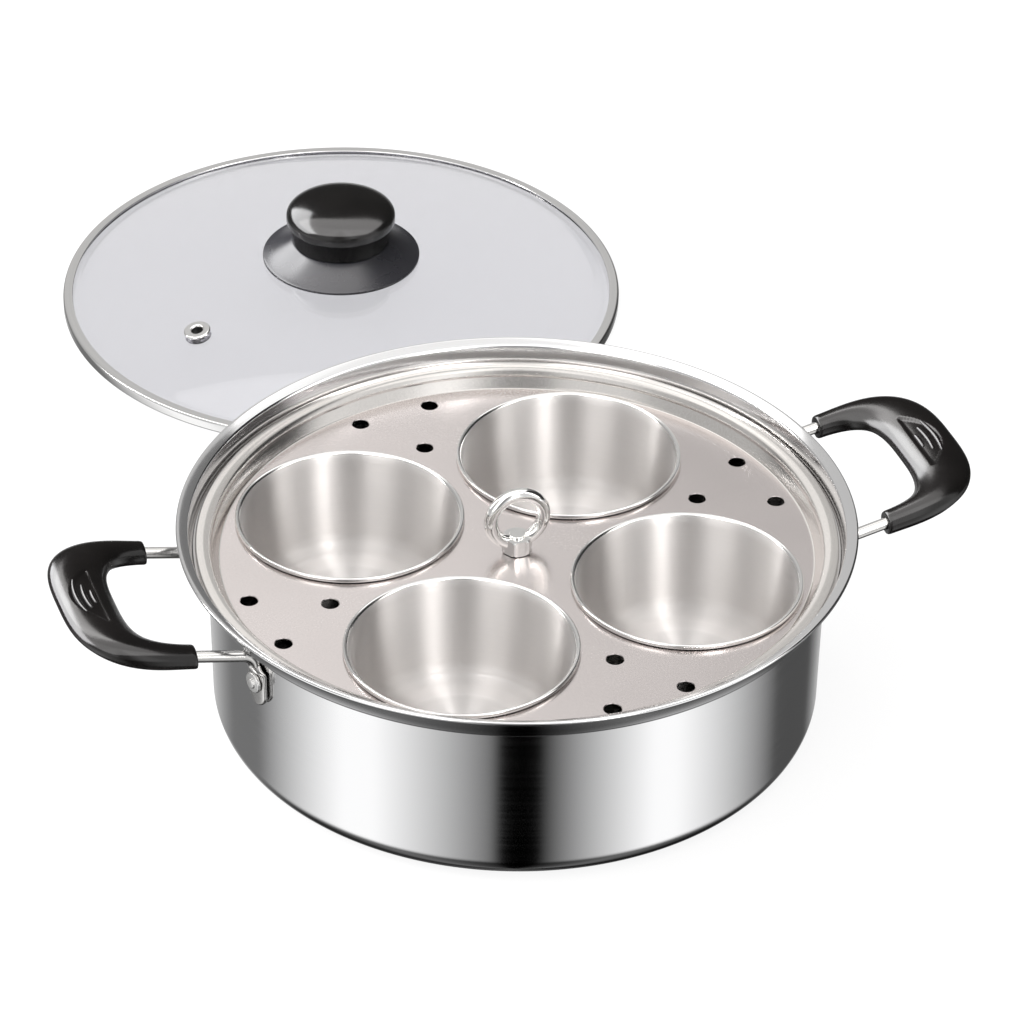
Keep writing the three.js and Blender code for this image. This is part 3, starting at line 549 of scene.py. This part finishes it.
def satin_sheet(name, colour, roughness, depth):
    """Rolled satin stainless: a fine even speckle and slow clouds move the colour and the roughness, and
    the speckle is also a very shallow bump."""
    finish, tree, shader, place = blank(name)
    speckle = add(tree, "TexNoise", {"Vector": place.outputs["Object"], "Scale": 1300.0, "Detail": 2.0})
    clouds = add(tree, "TexNoise", {"Vector": place.outputs["Object"], "Scale": 14.0, "Detail": 4.0})
    both = add(tree, "Math", {0: speckle.outputs[0], 1: clouds.outputs[0]}, operation="ADD")
    shade = add(tree, "MapRange", {0: both.outputs[0], 1: 0.65, 2: 1.35, 3: 0.93, 4: 1.05})
    tint = add(tree, "VectorMath", {0: colour, 3: shade.outputs[0]}, operation="SCALE")
    tree.links.new(tint.outputs[0], shader.inputs["Base Color"])
    smooth, dull = roughness * 0.85, roughness * 1.2
    rough = add(tree, "MapRange", {0: both.outputs[0], 1: 0.65, 2: 1.35, 3: smooth, 4: dull})
    tree.links.new(rough.outputs[0], shader.inputs["Roughness"])
    bump = add(tree, "Bump", {"Height": speckle.outputs[0], "Strength": depth, "Distance": 0.0001})
    tree.links.new(bump.outputs[0], shader.inputs["Normal"])
    shader.inputs["Metallic"].default_value = 1.0
    return finish


tray_satin = satin_sheet("tray_satin", (0.79, 0.735, 0.72), 0.24, 0.1)
tray_lip = satin_sheet("tray_lip", (0.85, 0.82, 0.79), 0.2, 0.015)
fit(pressed_tray, [tray_satin, tray_lip], "tray", "tray_steel", "steamer_tray")


# Cups. Four loose poaching cups, drawn from thin stainless, each with a polished rolled rim that rests on
# the tray. Inside they are brushed round and round, which draws every reflection out into upright streaks.
cup_sheet, cup_depth, cup_taper, cup_corner = 0.6, 44.0, 1.5, 8.0
cup_mouth, cup_mouth_round, cup_mouth_drop = 41.994, 2.6, 5.0
cup_rim_radius, cup_rim_height, cup_rim_round = 45.194, 2.0, 0.8
rim_bottom = tray_top + seat_gap
rim_top = rim_bottom + cup_rim_height
cup_bottom = rim_top - cup_depth - cup_sheet
cup_floor = cup_mouth + cup_sheet - cup_taper - cup_corner
cup_outside = section(
    (0, cup_bottom), (cup_floor - 2, cup_bottom),
    arc(cup_floor, cup_bottom + cup_corner, cup_corner, -90, 0, 13),
    (cup_mouth + cup_sheet, rim_bottom - 0.5), (cup_mouth + cup_sheet + 0.3, rim_bottom),
    arc(cup_rim_radius - cup_rim_round, rim_bottom + cup_rim_round, cup_rim_round, -90, 0, 7),
    arc(cup_rim_radius - cup_rim_round, rim_top - cup_rim_round, cup_rim_round, 0, 90, 7),
)
mouth_curve = arc(0, 0, 1, 95, 180, 17) * (cup_mouth_round, cup_mouth_drop)
cup_inside = section(
    mouth_curve + (cup_mouth + cup_mouth_round, rim_top - cup_mouth_drop),
    arc(cup_floor, cup_bottom + cup_corner, cup_corner - cup_sheet, 0, -90, 13),
    (cup_floor - 6, cup_bottom + cup_sheet), (cup_floor - 7, cup_bottom + cup_sheet + 0.25),
    (cup_floor - 8, cup_bottom + cup_sheet), (0, cup_bottom + cup_sheet),
)
cup_polished = turned_steel("cup_polished", (0.87, 0.86, 0.85), 0.14, 900.0, 10.0, 0.05, 0.0, 0.02)
cup_brushed = turned_steel("cup_brushed", (0.88, 0.855, 0.84), 0.5, 2200.0, 10.0, 0.06, 1.0, 0.03)
for side, place in zip(("right", "rear", "left", "front"), cup_places):
    cup_grid = spin(section(cup_outside, cup_inside), place, around=160)
    cup = skin(f"poaching_cup_{side}", cup_grid, inner_from=len(cup_outside) + 5)
    fit(cup, [cup_polished, cup_brushed], f"cup_{side}", "cup_steel", f"egg_cup_{side}")


# Lifting eye. A polished steel ring forged in one with a hexagon foot that stands on the tray. Its threaded
# shank goes through the tray and is held from below by a washer, a nut and a locknut.
eye_radius, eye_wire, eye_middle = 10.8, 2.7, 85.0
eye_foot_radius, eye_foot_height, stud_end_radius, stud_end_height = 6.2, 6.6, 3.2, 0.9
shank_radius, shank_tail, nut_radius, nut_height = 3.0, 55.3, 5.8, 5.0
nut_bottom, locknut_bottom, washer_radius, washer_bottom, washer_thickness = 62.6, 57.3, 7.0, 67.9, 1.0
corner_turn, corner_cut, thread_turns, thread_cut, stud_round = 0.55, 0.65, 15, 0.22, 0.5

ring_turn = np.linspace(0, 2 * np.pi, 97)
ring_line = np.stack([np.sin(ring_turn), 0 * ring_turn, np.cos(ring_turn)], 1)
eye_loop = tube(
    eye_radius * ring_line + (0, 0, eye_middle), ring_line, np.tile((0, 1, 0), (97, 1)),
    np.full(97, eye_wire), np.full(97, eye_wire), np.full(97, 2.0),
)
eye_seat, ring_floor = tray_top + seat_gap, eye_middle - eye_radius
thread = np.linspace(0, 1, 101)
thread_depth = thread_cut * (0.5 + 0.5 * np.cos(2 * np.pi * thread_turns * thread))
thread_height = shank_tail + 0.4 + (eye_seat - shank_tail - 0.6) * thread
shank_line = section(
    (0, shank_tail), (shank_radius - 0.5, shank_tail),
    np.stack([shank_radius - thread_depth, thread_height], 1),
    (shank_radius, eye_seat + 1), (0, eye_seat + 1),
)
stud_top = ring_floor + eye_wire + stud_end_height
stud_line = section(
    (stud_end_radius, ring_floor), (stud_end_radius, stud_top - stud_round),
    arc(stud_end_radius - stud_round, stud_top - stud_round, stud_round, 0, 90, 6), (0, stud_top),
)


def hexagon(radius, bottom, height, bore, around=96):
    """Hexagon block: each row's radius is the smaller of the hexagon's, which grows as one over the cosine
    from each flat's middle, and a limit that turns off the corners. The last row meets the first."""
    turn = np.linspace(0, 2 * np.pi, around + 1)
    flats = radius * np.cos(np.pi / 6) / np.cos((turn % (np.pi / 3)) - np.pi / 6)
    level = np.array([0, 0, corner_turn, height - corner_turn, height, height, 0])
    limit = np.array([bore, radius - corner_cut, radius, radius, radius - corner_cut, bore, bore])
    radius = np.minimum(flats[None], limit[:, None])
    return np.stack([radius * np.cos(turn), radius * np.sin(turn), bottom + level[:, None] + 0 * turn], 2)


eye_steel = turned_steel("eye_steel", (0.90, 0.895, 0.88), 0.1, 700.0, 60.0, 0.06, 0.0)
eye_foot = hexagon(eye_foot_radius, eye_seat, eye_foot_height, 0.0)[:-1]
eye_stud, eye_shank = spin(stud_line, around=48), spin(shank_line, around=64)
eye = skin("ring_and_foot", eye_loop, eye_foot, eye_stud, eye_shank, sharp=24.0)
fit(eye, [eye_steel], "tray", "bright_steel", "lifting_eye")

nut_steel = turned_steel("nut_steel", (0.86, 0.855, 0.84), 0.16, 600.0, 80.0, 0.1, 0.0)
for name, bottom, node in (
    ("hexagon_locknut", locknut_bottom, "eye_locknut"), ("hexagon_nut", nut_bottom, "eye_nut"),
):
    nut = skin(name, hexagon(nut_radius, bottom, nut_height, shank_radius + seat_gap), sharp=20.0)
    fit(nut, [nut_steel], "tray", "bright_steel", node)
washer_bore, washer_top, washer_break = shank_radius + seat_gap, washer_bottom + washer_thickness, 0.2
washer_line = section(
    (washer_bore, washer_bottom), (washer_radius - washer_break, washer_bottom),
    (washer_radius, washer_bottom + washer_break), (washer_radius, washer_top - washer_break),
    (washer_radius - washer_break, washer_top), (washer_bore, washer_top), (washer_bore, washer_bottom),
)
washer = skin("plain_washer", spin(washer_line, around=64), sharp=20.0)
fit(washer, [nut_steel], "tray", "bright_steel", "eye_washer")


# Lid glass. A shallow dome of toughened glass, 3.2 mm thick, with a flat edge, a hole for the knob's
# screw in the middle and one for the steam vent. It lies on the table behind the pot.
lid_place = np.array([25.7, 310.9])
glass_radius, glass_thickness, glass_bottom, dome_foot, dome_rise = 124.6, 3.2, 0.8, 119.6, 18.2
glass_dome = (dome_foot ** 2 + dome_rise ** 2) / (2 * dome_rise)
screw_hole, vent_ring, vent_turn = 2.8, 82.2, np.radians(202.2)
eyelet_bore, eyelet_tube, eyelet_flange_radius, eyelet_flange = 2.5, 3.6, 6.0, 0.9


def dome_at(radius):
    """Height of the dome's underside: the sphere that rises dome_rise above its foot."""
    return glass_bottom + dome_rise - glass_dome + np.sqrt(glass_dome ** 2 - radius ** 2)


dome_r = np.linspace(screw_hole, dome_foot - 1.5, 36)
dome_under = np.stack([dome_r, dome_at(dome_r)], 1)
glass_edge, glass_break = glass_bottom + glass_thickness, 0.4
glass_line = section(
    dome_under, (dome_foot, glass_bottom + 0.05), (glass_radius - glass_break, glass_bottom),
    (glass_radius, glass_bottom + glass_break), (glass_radius, glass_edge - glass_break),
    (glass_radius - glass_break, glass_edge), (dome_foot, glass_edge + 0.05),
    dome_under[::-1] + (0, glass_thickness), (screw_hole, dome_at(screw_hole)),
)
lid_glass = skin("domed_glass", spin(glass_line, lid_place, around=192), sharp=30.0)
vent_tilt = np.arcsin(vent_ring / glass_dome)
vent_axis = (np.sin(vent_tilt) * np.cos(vent_turn), np.sin(vent_tilt) * np.sin(vent_turn), np.cos(vent_tilt))
vent_place = np.array([
    lid_place[0] + vent_ring * np.cos(vent_turn), lid_place[1] + vent_ring * np.sin(vent_turn),
    dome_at(vent_ring) + glass_thickness / 2,
])
drill_radius, drill_reach = eyelet_tube + seat_gap, 8
drill_line = section(
    (0, -drill_reach), (drill_radius, -drill_reach), (drill_radius, drill_reach), (0, drill_reach),
)
drill = skin("vent_drill", aim(spin(drill_line, around=48), vent_place, vent_axis))
cut = lid_glass.modifiers.new("vent", "BOOLEAN")
cut.object, cut.operation = drill, "DIFFERENCE"
drilled = bpy.data.meshes.new_from_object(lid_glass.evaluated_get(bpy.context.evaluated_depsgraph_get()))
lid_glass.modifiers.clear()
lid_glass.data = drilled
bpy.data.objects.remove(drill)

clear_glass, glass_tree, glass_shader, glass_spot = blank("clear_glass")
film = add(glass_tree, "TexNoise", {"Vector": glass_spot.outputs["Object"], "Scale": 9.0, "Detail": 5.0})
clean_tint, wiped_tint = (0.698, 0.696, 0.728, 1), (0.72, 0.718, 0.748, 1)
film_tint = add(glass_tree, "Mix", {0: film.outputs[0], 6: clean_tint, 7: wiped_tint}, data_type="RGBA")
glass_tree.links.new(film_tint.outputs[2], glass_shader.inputs["Base Color"])
film_rough = add(glass_tree, "MapRange", {0: film.outputs[0], 1: 0.4, 2: 0.75, 3: 0.035, 4: 0.06})
glass_tree.links.new(film_rough.outputs[0], glass_shader.inputs["Roughness"])
glass_shader.inputs["Transmission Weight"].default_value = 1.0
glass_shader.inputs["IOR"].default_value = 1.5
glass_shader.inputs["Specular IOR Level"].default_value = 0.0
fit(lid_glass, [clear_glass], "lid", "clear_glass", "lid_glass")


# Lid band. A thin stainless strip that is rolled round the edge of the glass and folded over it above
# and below. The lid rests on its lower fold.
lid_radius, band_height, band_sheet, band_top, band_foot = 125.4, 4.8, 0.5, 4.3, 3.4
band_line = section(
    (lid_radius - band_foot, 0.1), (lid_radius - band_foot + 0.2, 0),
    arc(lid_radius - 0.8, 0.8, 0.8, -90, 0, 6), arc(lid_radius - 1.2, band_height - 1.2, 1.2, 0, 90, 9),
    (lid_radius - band_top + 0.2, band_height), (lid_radius - band_top, band_height - 0.2),
    (lid_radius - band_top, band_height - band_sheet), (lid_radius - 1.1, band_height - band_sheet),
    (lid_radius - band_sheet, band_height - 1.1), (lid_radius - band_sheet, band_sheet),
    (lid_radius - band_foot, band_sheet), (lid_radius - band_foot, 0.1),
)
band_steel = turned_steel("band_steel", (0.84, 0.835, 0.83), 0.15, 900.0, 10.0, 0.08, 0.3)
band = skin("rolled_band", spin(band_line, lid_place, around=256))
fit(band, [band_steel], "lid", "bright_steel", "lid_rim_band")


# Vent eyelet. A bright steel tube through the glass that lets the steam out. It is put in from above, and
# both its ends are flared over the glass. Its bore is coloured dark grey as painted shade, so the hole reads
# as dark.
eyelet_seat = glass_thickness / 2 + seat_gap
eyelet_line = section(
    arc(eyelet_bore + eyelet_flange, eyelet_seat, eyelet_flange, 180, 90, 6),
    arc(eyelet_flange_radius - eyelet_flange, eyelet_seat, eyelet_flange, 90, 0, 6),
    (eyelet_tube, eyelet_seat), (eyelet_tube, -eyelet_seat),
    arc(eyelet_flange_radius - eyelet_flange, -eyelet_seat, eyelet_flange, 0, -90, 6),
    arc(eyelet_bore + eyelet_flange, -eyelet_seat, eyelet_flange, -90, -180, 6),
    (eyelet_bore, eyelet_seat),
)
eyelet_steel = turned_steel("eyelet_steel", (0.88, 0.875, 0.865), 0.16, 900.0, 60.0, 0.08, 0.0)
# The bore's dark grey colour is painted shade: a dark steel put where the hole would lie in shadow.
eyelet_bore_painted_shade = turned_steel("eyelet_bore_painted_shade", (0.09, 0.09, 0.09), 0.5, 900.0, 60.0, 0.08, 0.0)
eyelet_grid = aim(spin(eyelet_line, around=64), vent_place, vent_axis)
eyelet = skin("flared_eyelet", eyelet_grid, inner_from=len(eyelet_line) - 2)
fit(eyelet, [eyelet_steel, eyelet_bore_painted_shade], "lid", "bright_steel", "vent_eyelet")


# Knob skirt. A dark grey moulded flange that sits on the dome and spreads the knob's pull on the glass.
# The knob stands on it, and the knob's screw holds both down.
skirt_radius, skirt_bottom, skirt_rise, skirt_edge = 35.2, 20.957, 8.0, 1.1
skirt_top = skirt_bottom + skirt_rise
knob_foot_radius = 21.6
skirt_r = np.linspace(screw_hole, skirt_radius, 14)
slope_share = np.linspace(0, 1, 12)[1:]
flank = np.stack([
    skirt_radius + (knob_foot_radius + 0.6 - skirt_radius) * slope_share,
    skirt_bottom + skirt_edge + (skirt_rise - skirt_edge - 0.3) * slope_share ** 1.25,
], 1)
skirt_seat = dome_at(skirt_r) + glass_thickness + seat_gap
skirt_line = section(
    np.stack([skirt_r, skirt_seat], 1),
    arc(skirt_radius - 0.5, skirt_bottom + skirt_edge - 0.4, 0.5, 0, 70, 5), flank,
    (knob_foot_radius, skirt_top), (screw_hole, skirt_top), (screw_hole, skirt_seat[0]),
)
skirt_grey = phenolic("skirt_grey", (0.016, 0.016, 0.019), (0.024, 0.024, 0.028), 0.26, 700.0)
skirt = skin("knob_flange", spin(skirt_line, lid_place, around=128))
fit(skirt, [skirt_grey], "lid", "grey_skirt", "knob_skirt")


# Knob. Glossy black phenolic with a straight neck, a small brow and a broad crown. A brass insert is
# moulded into it, and a screw through the glass and a silicone seal pull it down from below.
knob_bottom, neck_radius, neck_height = 29.257, 22.3, 8.5
knob_radius, knob_widest, knob_apex = 24.4, 41.557, 49.757
insert_radius, insert_length, screw_radius, screw_grip = 5.0, 12.0, 2.5, 10.0
crown_fullness, brow_round, knob_break = 0.8, 1.5, 0.3
crown = np.linspace(0, np.pi / 2, 25)
crown_rise = knob_widest + (knob_apex - knob_widest) * np.sin(crown)
brow = knob_bottom + neck_height
insert_top, insert_room = knob_bottom + insert_length, insert_radius + seat_gap
knob_line = section(
    (0, insert_top + seat_gap), (insert_room, insert_top + seat_gap), (insert_room, knob_bottom),
    (knob_foot_radius - knob_break, knob_bottom), (knob_foot_radius, knob_bottom + knob_break),
    (neck_radius - 0.1, brow - 0.6), (neck_radius + 0.1, brow - 0.15), (neck_radius + 0.8, brow),
    arc(knob_radius - brow_round, brow + 1.7, brow_round, -60, -10, 6),
    np.stack([knob_radius * np.cos(crown) ** crown_fullness, crown_rise], 1),
)
knob_black = phenolic("knob_black", (0.003, 0.003, 0.003), (0.006, 0.0055, 0.005), 0.17, 800.0)
knob = skin("moulded_knob", spin(knob_line, lid_place, around=128))
fit(knob, [knob_black], "lid", "black_bakelite", "lid_knob")

insert_foot, groove_radius = knob_bottom + seat_gap, insert_radius - 0.6
insert_line = section(
    (screw_hole, insert_foot), (insert_radius - 0.3, insert_foot), (insert_radius, insert_foot + 0.3),
    (insert_radius, knob_bottom + 5), (groove_radius, knob_bottom + 5.4), (groove_radius, knob_bottom + 6.6),
    (insert_radius, knob_bottom + 7), (insert_radius, insert_top), (screw_hole, insert_top),
    (screw_hole, insert_foot),
)
brass = turned_steel("turned_brass", (0.78, 0.60, 0.30), 0.28, 900.0, 60.0, 0.1, 0.0)
insert = skin("brass_insert", spin(insert_line, lid_place, around=48), sharp=25.0)
fit(insert, [brass], "lid", "brass", "knob_insert")

seal_top, seal_radius, seal_thickness = 18.599, 9.0, 1.5
seal_round = seal_thickness / 2
seal_line = section(
    (screw_hole, seal_top), arc(seal_radius - seal_round, seal_top - seal_round, seal_round, 90, -90, 9),
    (screw_hole, seal_top - seal_thickness), (screw_hole, seal_top),
)
silicone = phenolic("silicone", (0.80, 0.80, 0.79), (0.86, 0.86, 0.85), 0.55, 500.0)
seal = skin("silicone_seal", spin(seal_line, lid_place, around=64))
fit(seal, [silicone], "lid", "silicone", "knob_seal")

screw_seat, screw_head_radius, screw_head_height = seal_top - seal_thickness - seat_gap, 5.0, 2.6
screw_under, screw_tip = screw_seat - screw_head_height, knob_bottom + screw_grip
recess_radius, recess_floor = 1.6, screw_seat - 1.2
screw_line = section(
    (0, recess_floor), (recess_radius, recess_floor), (recess_radius, screw_under + 0.1), (2.2, screw_under),
    (3.6, screw_under + 0.25), (4.6, screw_under + 1.0), (screw_head_radius, screw_seat - 1.0),
    (screw_head_radius, screw_seat), (screw_radius, screw_seat), (screw_radius, screw_tip), (0, screw_tip),
)
screw = skin("pan_head_screw", spin(screw_line, lid_place, around=48))
fit(screw, [nut_steel], "lid", "bright_steel", "knob_screw")


# Studio. A white table and backdrop under soft light, seen from the photograph's place. Each finish has its
# own lamps: white cards behind and above the steel and the tray, upright strips for the streaks in the cups,
# softboxes for the black mouldings. Grey panels in the world stand for what the wall mirrors.
picture_size, sensor_size = 1024, 36.0
azimuth, elevation, roll = np.radians(19.68), np.radians(34.391), np.radians(0.757)
focal, distance, aim_right, aim_up = 4616.51, 1793.129, -2.059, 2.437
sideways = np.array([np.cos(azimuth), -np.sin(azimuth), 0.0])
beyond = np.array([np.sin(azimuth), np.cos(azimuth), 0.0])
upright = np.array([0.0, 0.0, 1.0])
look = beyond * np.cos(elevation) - upright * np.sin(elevation)
level_up = beyond * np.sin(elevation) + upright * np.cos(elevation)
right = sideways * np.cos(roll) + level_up * np.sin(roll)
up = level_up * np.cos(roll) - sideways * np.sin(roll)
eye_point = pot_height * upright + aim_right * right + aim_up * up - distance * look
camera = bpy.data.objects.new("camera", bpy.data.cameras.new("camera"))
camera.data.sensor_width, camera.data.lens = sensor_size, focal / picture_size * sensor_size
camera.data.clip_start, camera.data.clip_end = 0.05, 50.0
pose = np.eye(4)
pose[:3, :3] = np.stack([right, up, -look], 1)
pose[:3, 3] = eye_point * 0.001
camera.matrix_world = Matrix(pose.tolist())
bpy.context.scene.collection.objects.link(camera)
bpy.context.scene.camera = camera

studio_middle = Vector((0.01, 0.15, 0.05))
card_white, strip_white = (1.0, 0.99, 0.98), (1.0, 0.98, 0.96)
box_white, cool_white = (1.0, 0.98, 0.97), (0.99, 0.99, 1.0)


def softbox(name, lit, colour, turn, height, reach, width, depth, glow, upright_card=False):
    """A rectangular lamp that faces the pot from a turn round the camera's bearing and a height, in degrees.
    It lights the pieces of one group: its watts are four times its area times its glow."""
    side, rise = np.radians(turn), np.radians(height)
    bearing = (-beyond * np.cos(side) + sideways * np.sin(side)) * np.cos(rise) + upright * np.sin(rise)
    lamp = bpy.data.lights.new(name, "AREA")
    lamp.shape, lamp.size, lamp.size_y = "RECTANGLE", width, depth
    lamp.energy, lamp.color = 4 * width * depth * glow, colour
    holder = bpy.data.objects.new(name, lamp)
    holder.location = Vector(bearing * reach) + studio_middle
    facing = bearing * (1, 1, 0) if upright_card else bearing
    holder.rotation_euler = Vector(facing).to_track_quat("Z", "Y").to_euler()
    holder.light_linking.receiver_collection = lit
    bpy.context.scene.collection.objects.link(holder)


group_names = "mouldings", "grips", "knobs", "skirts", "sheet", "steelwork"
mouldings, grips, knobs, skirts, sheet, steelwork = map(bpy.data.collections.new, group_names)
groups = {
    "grip_black": (mouldings, grips), "knob_black": (mouldings, knobs), "skirt_grey": (mouldings, skirts),
    "silicone": (mouldings,), "tray_satin": (sheet,), "clear_glass": (),
}
for piece in [o for o in bpy.context.scene.objects if o.type == "MESH" and o.data.materials]:
    for group in groups.get(piece.data.materials[0].name, (steelwork,)):
        group.objects.link(piece)

for name, lit, *place in (
    ("card_behind", steelwork, 180, 36, 2.0, 1.5, 2.1, 0.12),
    ("second_card_behind", steelwork, 180, 36, 2.0, 2.4, 2.6, 0.12),
    ("third_card_behind", steelwork, 180, 36, 2.0, 3.0, 3.1, 0.12),
    ("wide_card_behind", steelwork, 215, 40, 2.0, 4.6, 3.6, 0.3),
    ("card_above", steelwork, 0, 89, 1.5, 2.2, 2.2, 0.75),
    ("tray_card_behind", sheet, 180, 40, 2.0, 5.0, 3.6, 0.4),
    ("tray_card_left", sheet, 218, 40, 2.0, 2.4, 3.6, 0.29),
    ("tray_card_above", sheet, 0, 89, 1.5, 2.2, 2.2, 0.3),
):
    softbox(name, lit, card_white, *place)
for name, turn, width, glow in (
    ("bright_strip", 28, 0.21, 4.0), ("pale_strip_right", 74, 0.34, 1.9),
    ("pale_strip_left", -29, 0.64, 1.0), ("thin_strip_left", -101, 0.063, 12.0),
):
    softbox(name, steelwork, strip_white, turn, 45, 1.7, width, 2.0, glow, upright_card=True)
for name, lit, colour, *place in (
    ("softbox_left", mouldings, cool_white, -110, 33, 1.5, 2.2, 1.0, 6.0),
    ("softbox_above_knob", knobs, box_white, 0, 88, 1.5, 4.6, 2.3, 2.3),
    ("softbox_above_skirt", skirts, box_white, -60, 70, 1.5, 2.8, 2.6, 2.1),
    ("softbox_above_grips", grips, box_white, -60, 70, 1.5, 2.8, 2.6, 1.6),
    ("softbox_high_left", grips, box_white, -147, 48, 1.5, 0.8, 0.8, 2.7),
):
    softbox(name, lit, colour, *place)

world = bpy.data.worlds.new("studio")
bpy.context.scene.world = world
world.use_nodes = True
sky = world.node_tree
backdrop = sky.nodes["Background"]
gaze = add(sky, "TexCoord", {}).outputs["Generated"]
to_right = add(sky, "VectorMath", {0: gaze, 1: sideways.tolist()}, operation="DOT_PRODUCT")
to_camera = add(sky, "VectorMath", {0: gaze, 1: (-beyond).tolist()}, operation="DOT_PRODUCT")
turn = add(sky, "Math", {0: to_right.outputs["Value"], 1: to_camera.outputs["Value"]}, operation="ARCTAN2")
share = add(sky, "MapRange", {0: turn.outputs[0], 1: -np.pi, 2: np.pi, 3: 0.0, 4: 1.0})


def ramp(**bands):
    """Grey bands by the degrees round the camera's bearing, as a colour ramp over the whole turn. Each keeps
    one level from its first edge to its last, and the light fades from one band to the next."""
    levels = {edge: level for first, last, level in bands.values() for edge in (first, last)}
    scale = add(sky, "ValToRGB", {0: share.outputs[0]})
    stops = scale.color_ramp.elements
    while len(stops) < len(levels):
        stops.new(0.5)
    for stop, (degrees, level) in zip(stops, levels.items()):
        stop.position, stop.color = degrees / 360 + 0.5, (level, level, level, 1)
    return scale


def rising(low, high, least):
    """Share that eases from least to one between two heights of the gaze."""
    heights = {0: add(sky, "SeparateXYZ", {0: gaze}).outputs[2], 1: low, 2: high, 3: least, 4: 1.0}
    return add(sky, "MapRange", heights, interpolation_type="SMOOTHSTEP").outputs[0]


def in_sight(tree):
    """One for rays from the camera, also through the glass, and nought for all others."""
    ray = add(tree, "LightPath", {}).outputs
    either = {0: ray["Is Camera Ray"], 1: ray["Is Transmission Ray"]}
    return add(tree, "Math", either, operation="MAXIMUM").outputs[0]


panels = ramp(
    rear=(-180, -180, 0.75), shade_left=(-138, -116, 0.18), panel_left=(-70, -56, 1.15),
    flag_edge=(-9, -9, 0.2), black_flag=(-5, 10, 0.0), panel_right=(56, 66, 1.15),
    shade_right=(120, 148, 0.08), rear_again=(180, 180, 0.75),
)
cards = ramp(
    dark_left=(-180, -112, 0.04), far_left=(-97, -50, 0.5), near_left=(-44, -14, 0.75), gap=(-12, 6, 0.28),
    bright=(24, 32, 1.2), near_right=(42, 60, 0.72), far_right=(68, 78, 0.82), dark_right=(88, 180, 0.04),
)
soft_grey, clear_white = (0.55, 0.55, 0.555, 1), (1, 1, 1, 1)
overhead, underneath = rising(-0.12, 0.03, 0.0), rising(-0.86, -0.68, 0.12)
below = add(sky, "VectorMath", {0: panels.outputs[0], 3: underneath}, operation="SCALE")
mirrored = add(sky, "Mix", {0: overhead, 6: below.outputs[0], 7: cards.outputs[0]}, data_type="RGBA")
glossy = add(sky, "LightPath", {}).outputs["Is Glossy Ray"]
soft = add(sky, "Mix", {0: glossy, 6: soft_grey, 7: mirrored.outputs[2]}, data_type="RGBA")
whole = add(sky, "Mix", {0: in_sight(sky), 6: soft.outputs[2], 7: clear_white}, data_type="RGBA")
sky.links.new(whole.outputs[2], backdrop.inputs["Color"])

table_reach, table_top, table_glow = 6, -0.0004, 0.88
floor_mesh = bpy.data.meshes.new("table")
floor_corners = table_reach * np.array([(-1, -1), (1, -1), (1, 1), (-1, 1)], float)
floor_mesh.from_pydata(np.column_stack([floor_corners, np.full(4, table_top)]).tolist(), [], [(0, 1, 2, 3)])
table = bpy.data.objects.new("table", floor_mesh)
bpy.context.scene.collection.objects.link(table)
table.visible_glossy = False
white, table_tree, table_shader, table_spot = blank("white_table")
paper = add(table_tree, "TexNoise", {"Vector": table_spot.outputs["Object"], "Scale": 300.0})
paper_tint = add(table_tree, "MapRange", {0: paper.outputs[0], 3: 0.92, 4: 0.94})
table_tree.links.new(paper_tint.outputs[0], table_shader.inputs["Base Color"])
table_shader.inputs["Roughness"].default_value = 0.9
table_shader.inputs["Specular IOR Level"].default_value = 0.0
table_sight = {0: in_sight(table_tree), 1: table_glow}
table_share = add(table_tree, "Math", table_sight, operation="MULTIPLY").outputs[0]
glow = add(table_tree, "Emission", {0: clear_white, 1: 1.0}).outputs[0]
table_mix = add(table_tree, "MixShader", {0: table_share, 1: table_shader.outputs[0], 2: glow})
table_tree.links.new(table_mix.outputs[0], table_tree.nodes["Material Output"].inputs["Surface"])
floor_mesh.materials.append(white)
for group in (mouldings, skirts):
    group.objects.link(table)

bpy.context.scene.view_settings.view_transform = "Standard"
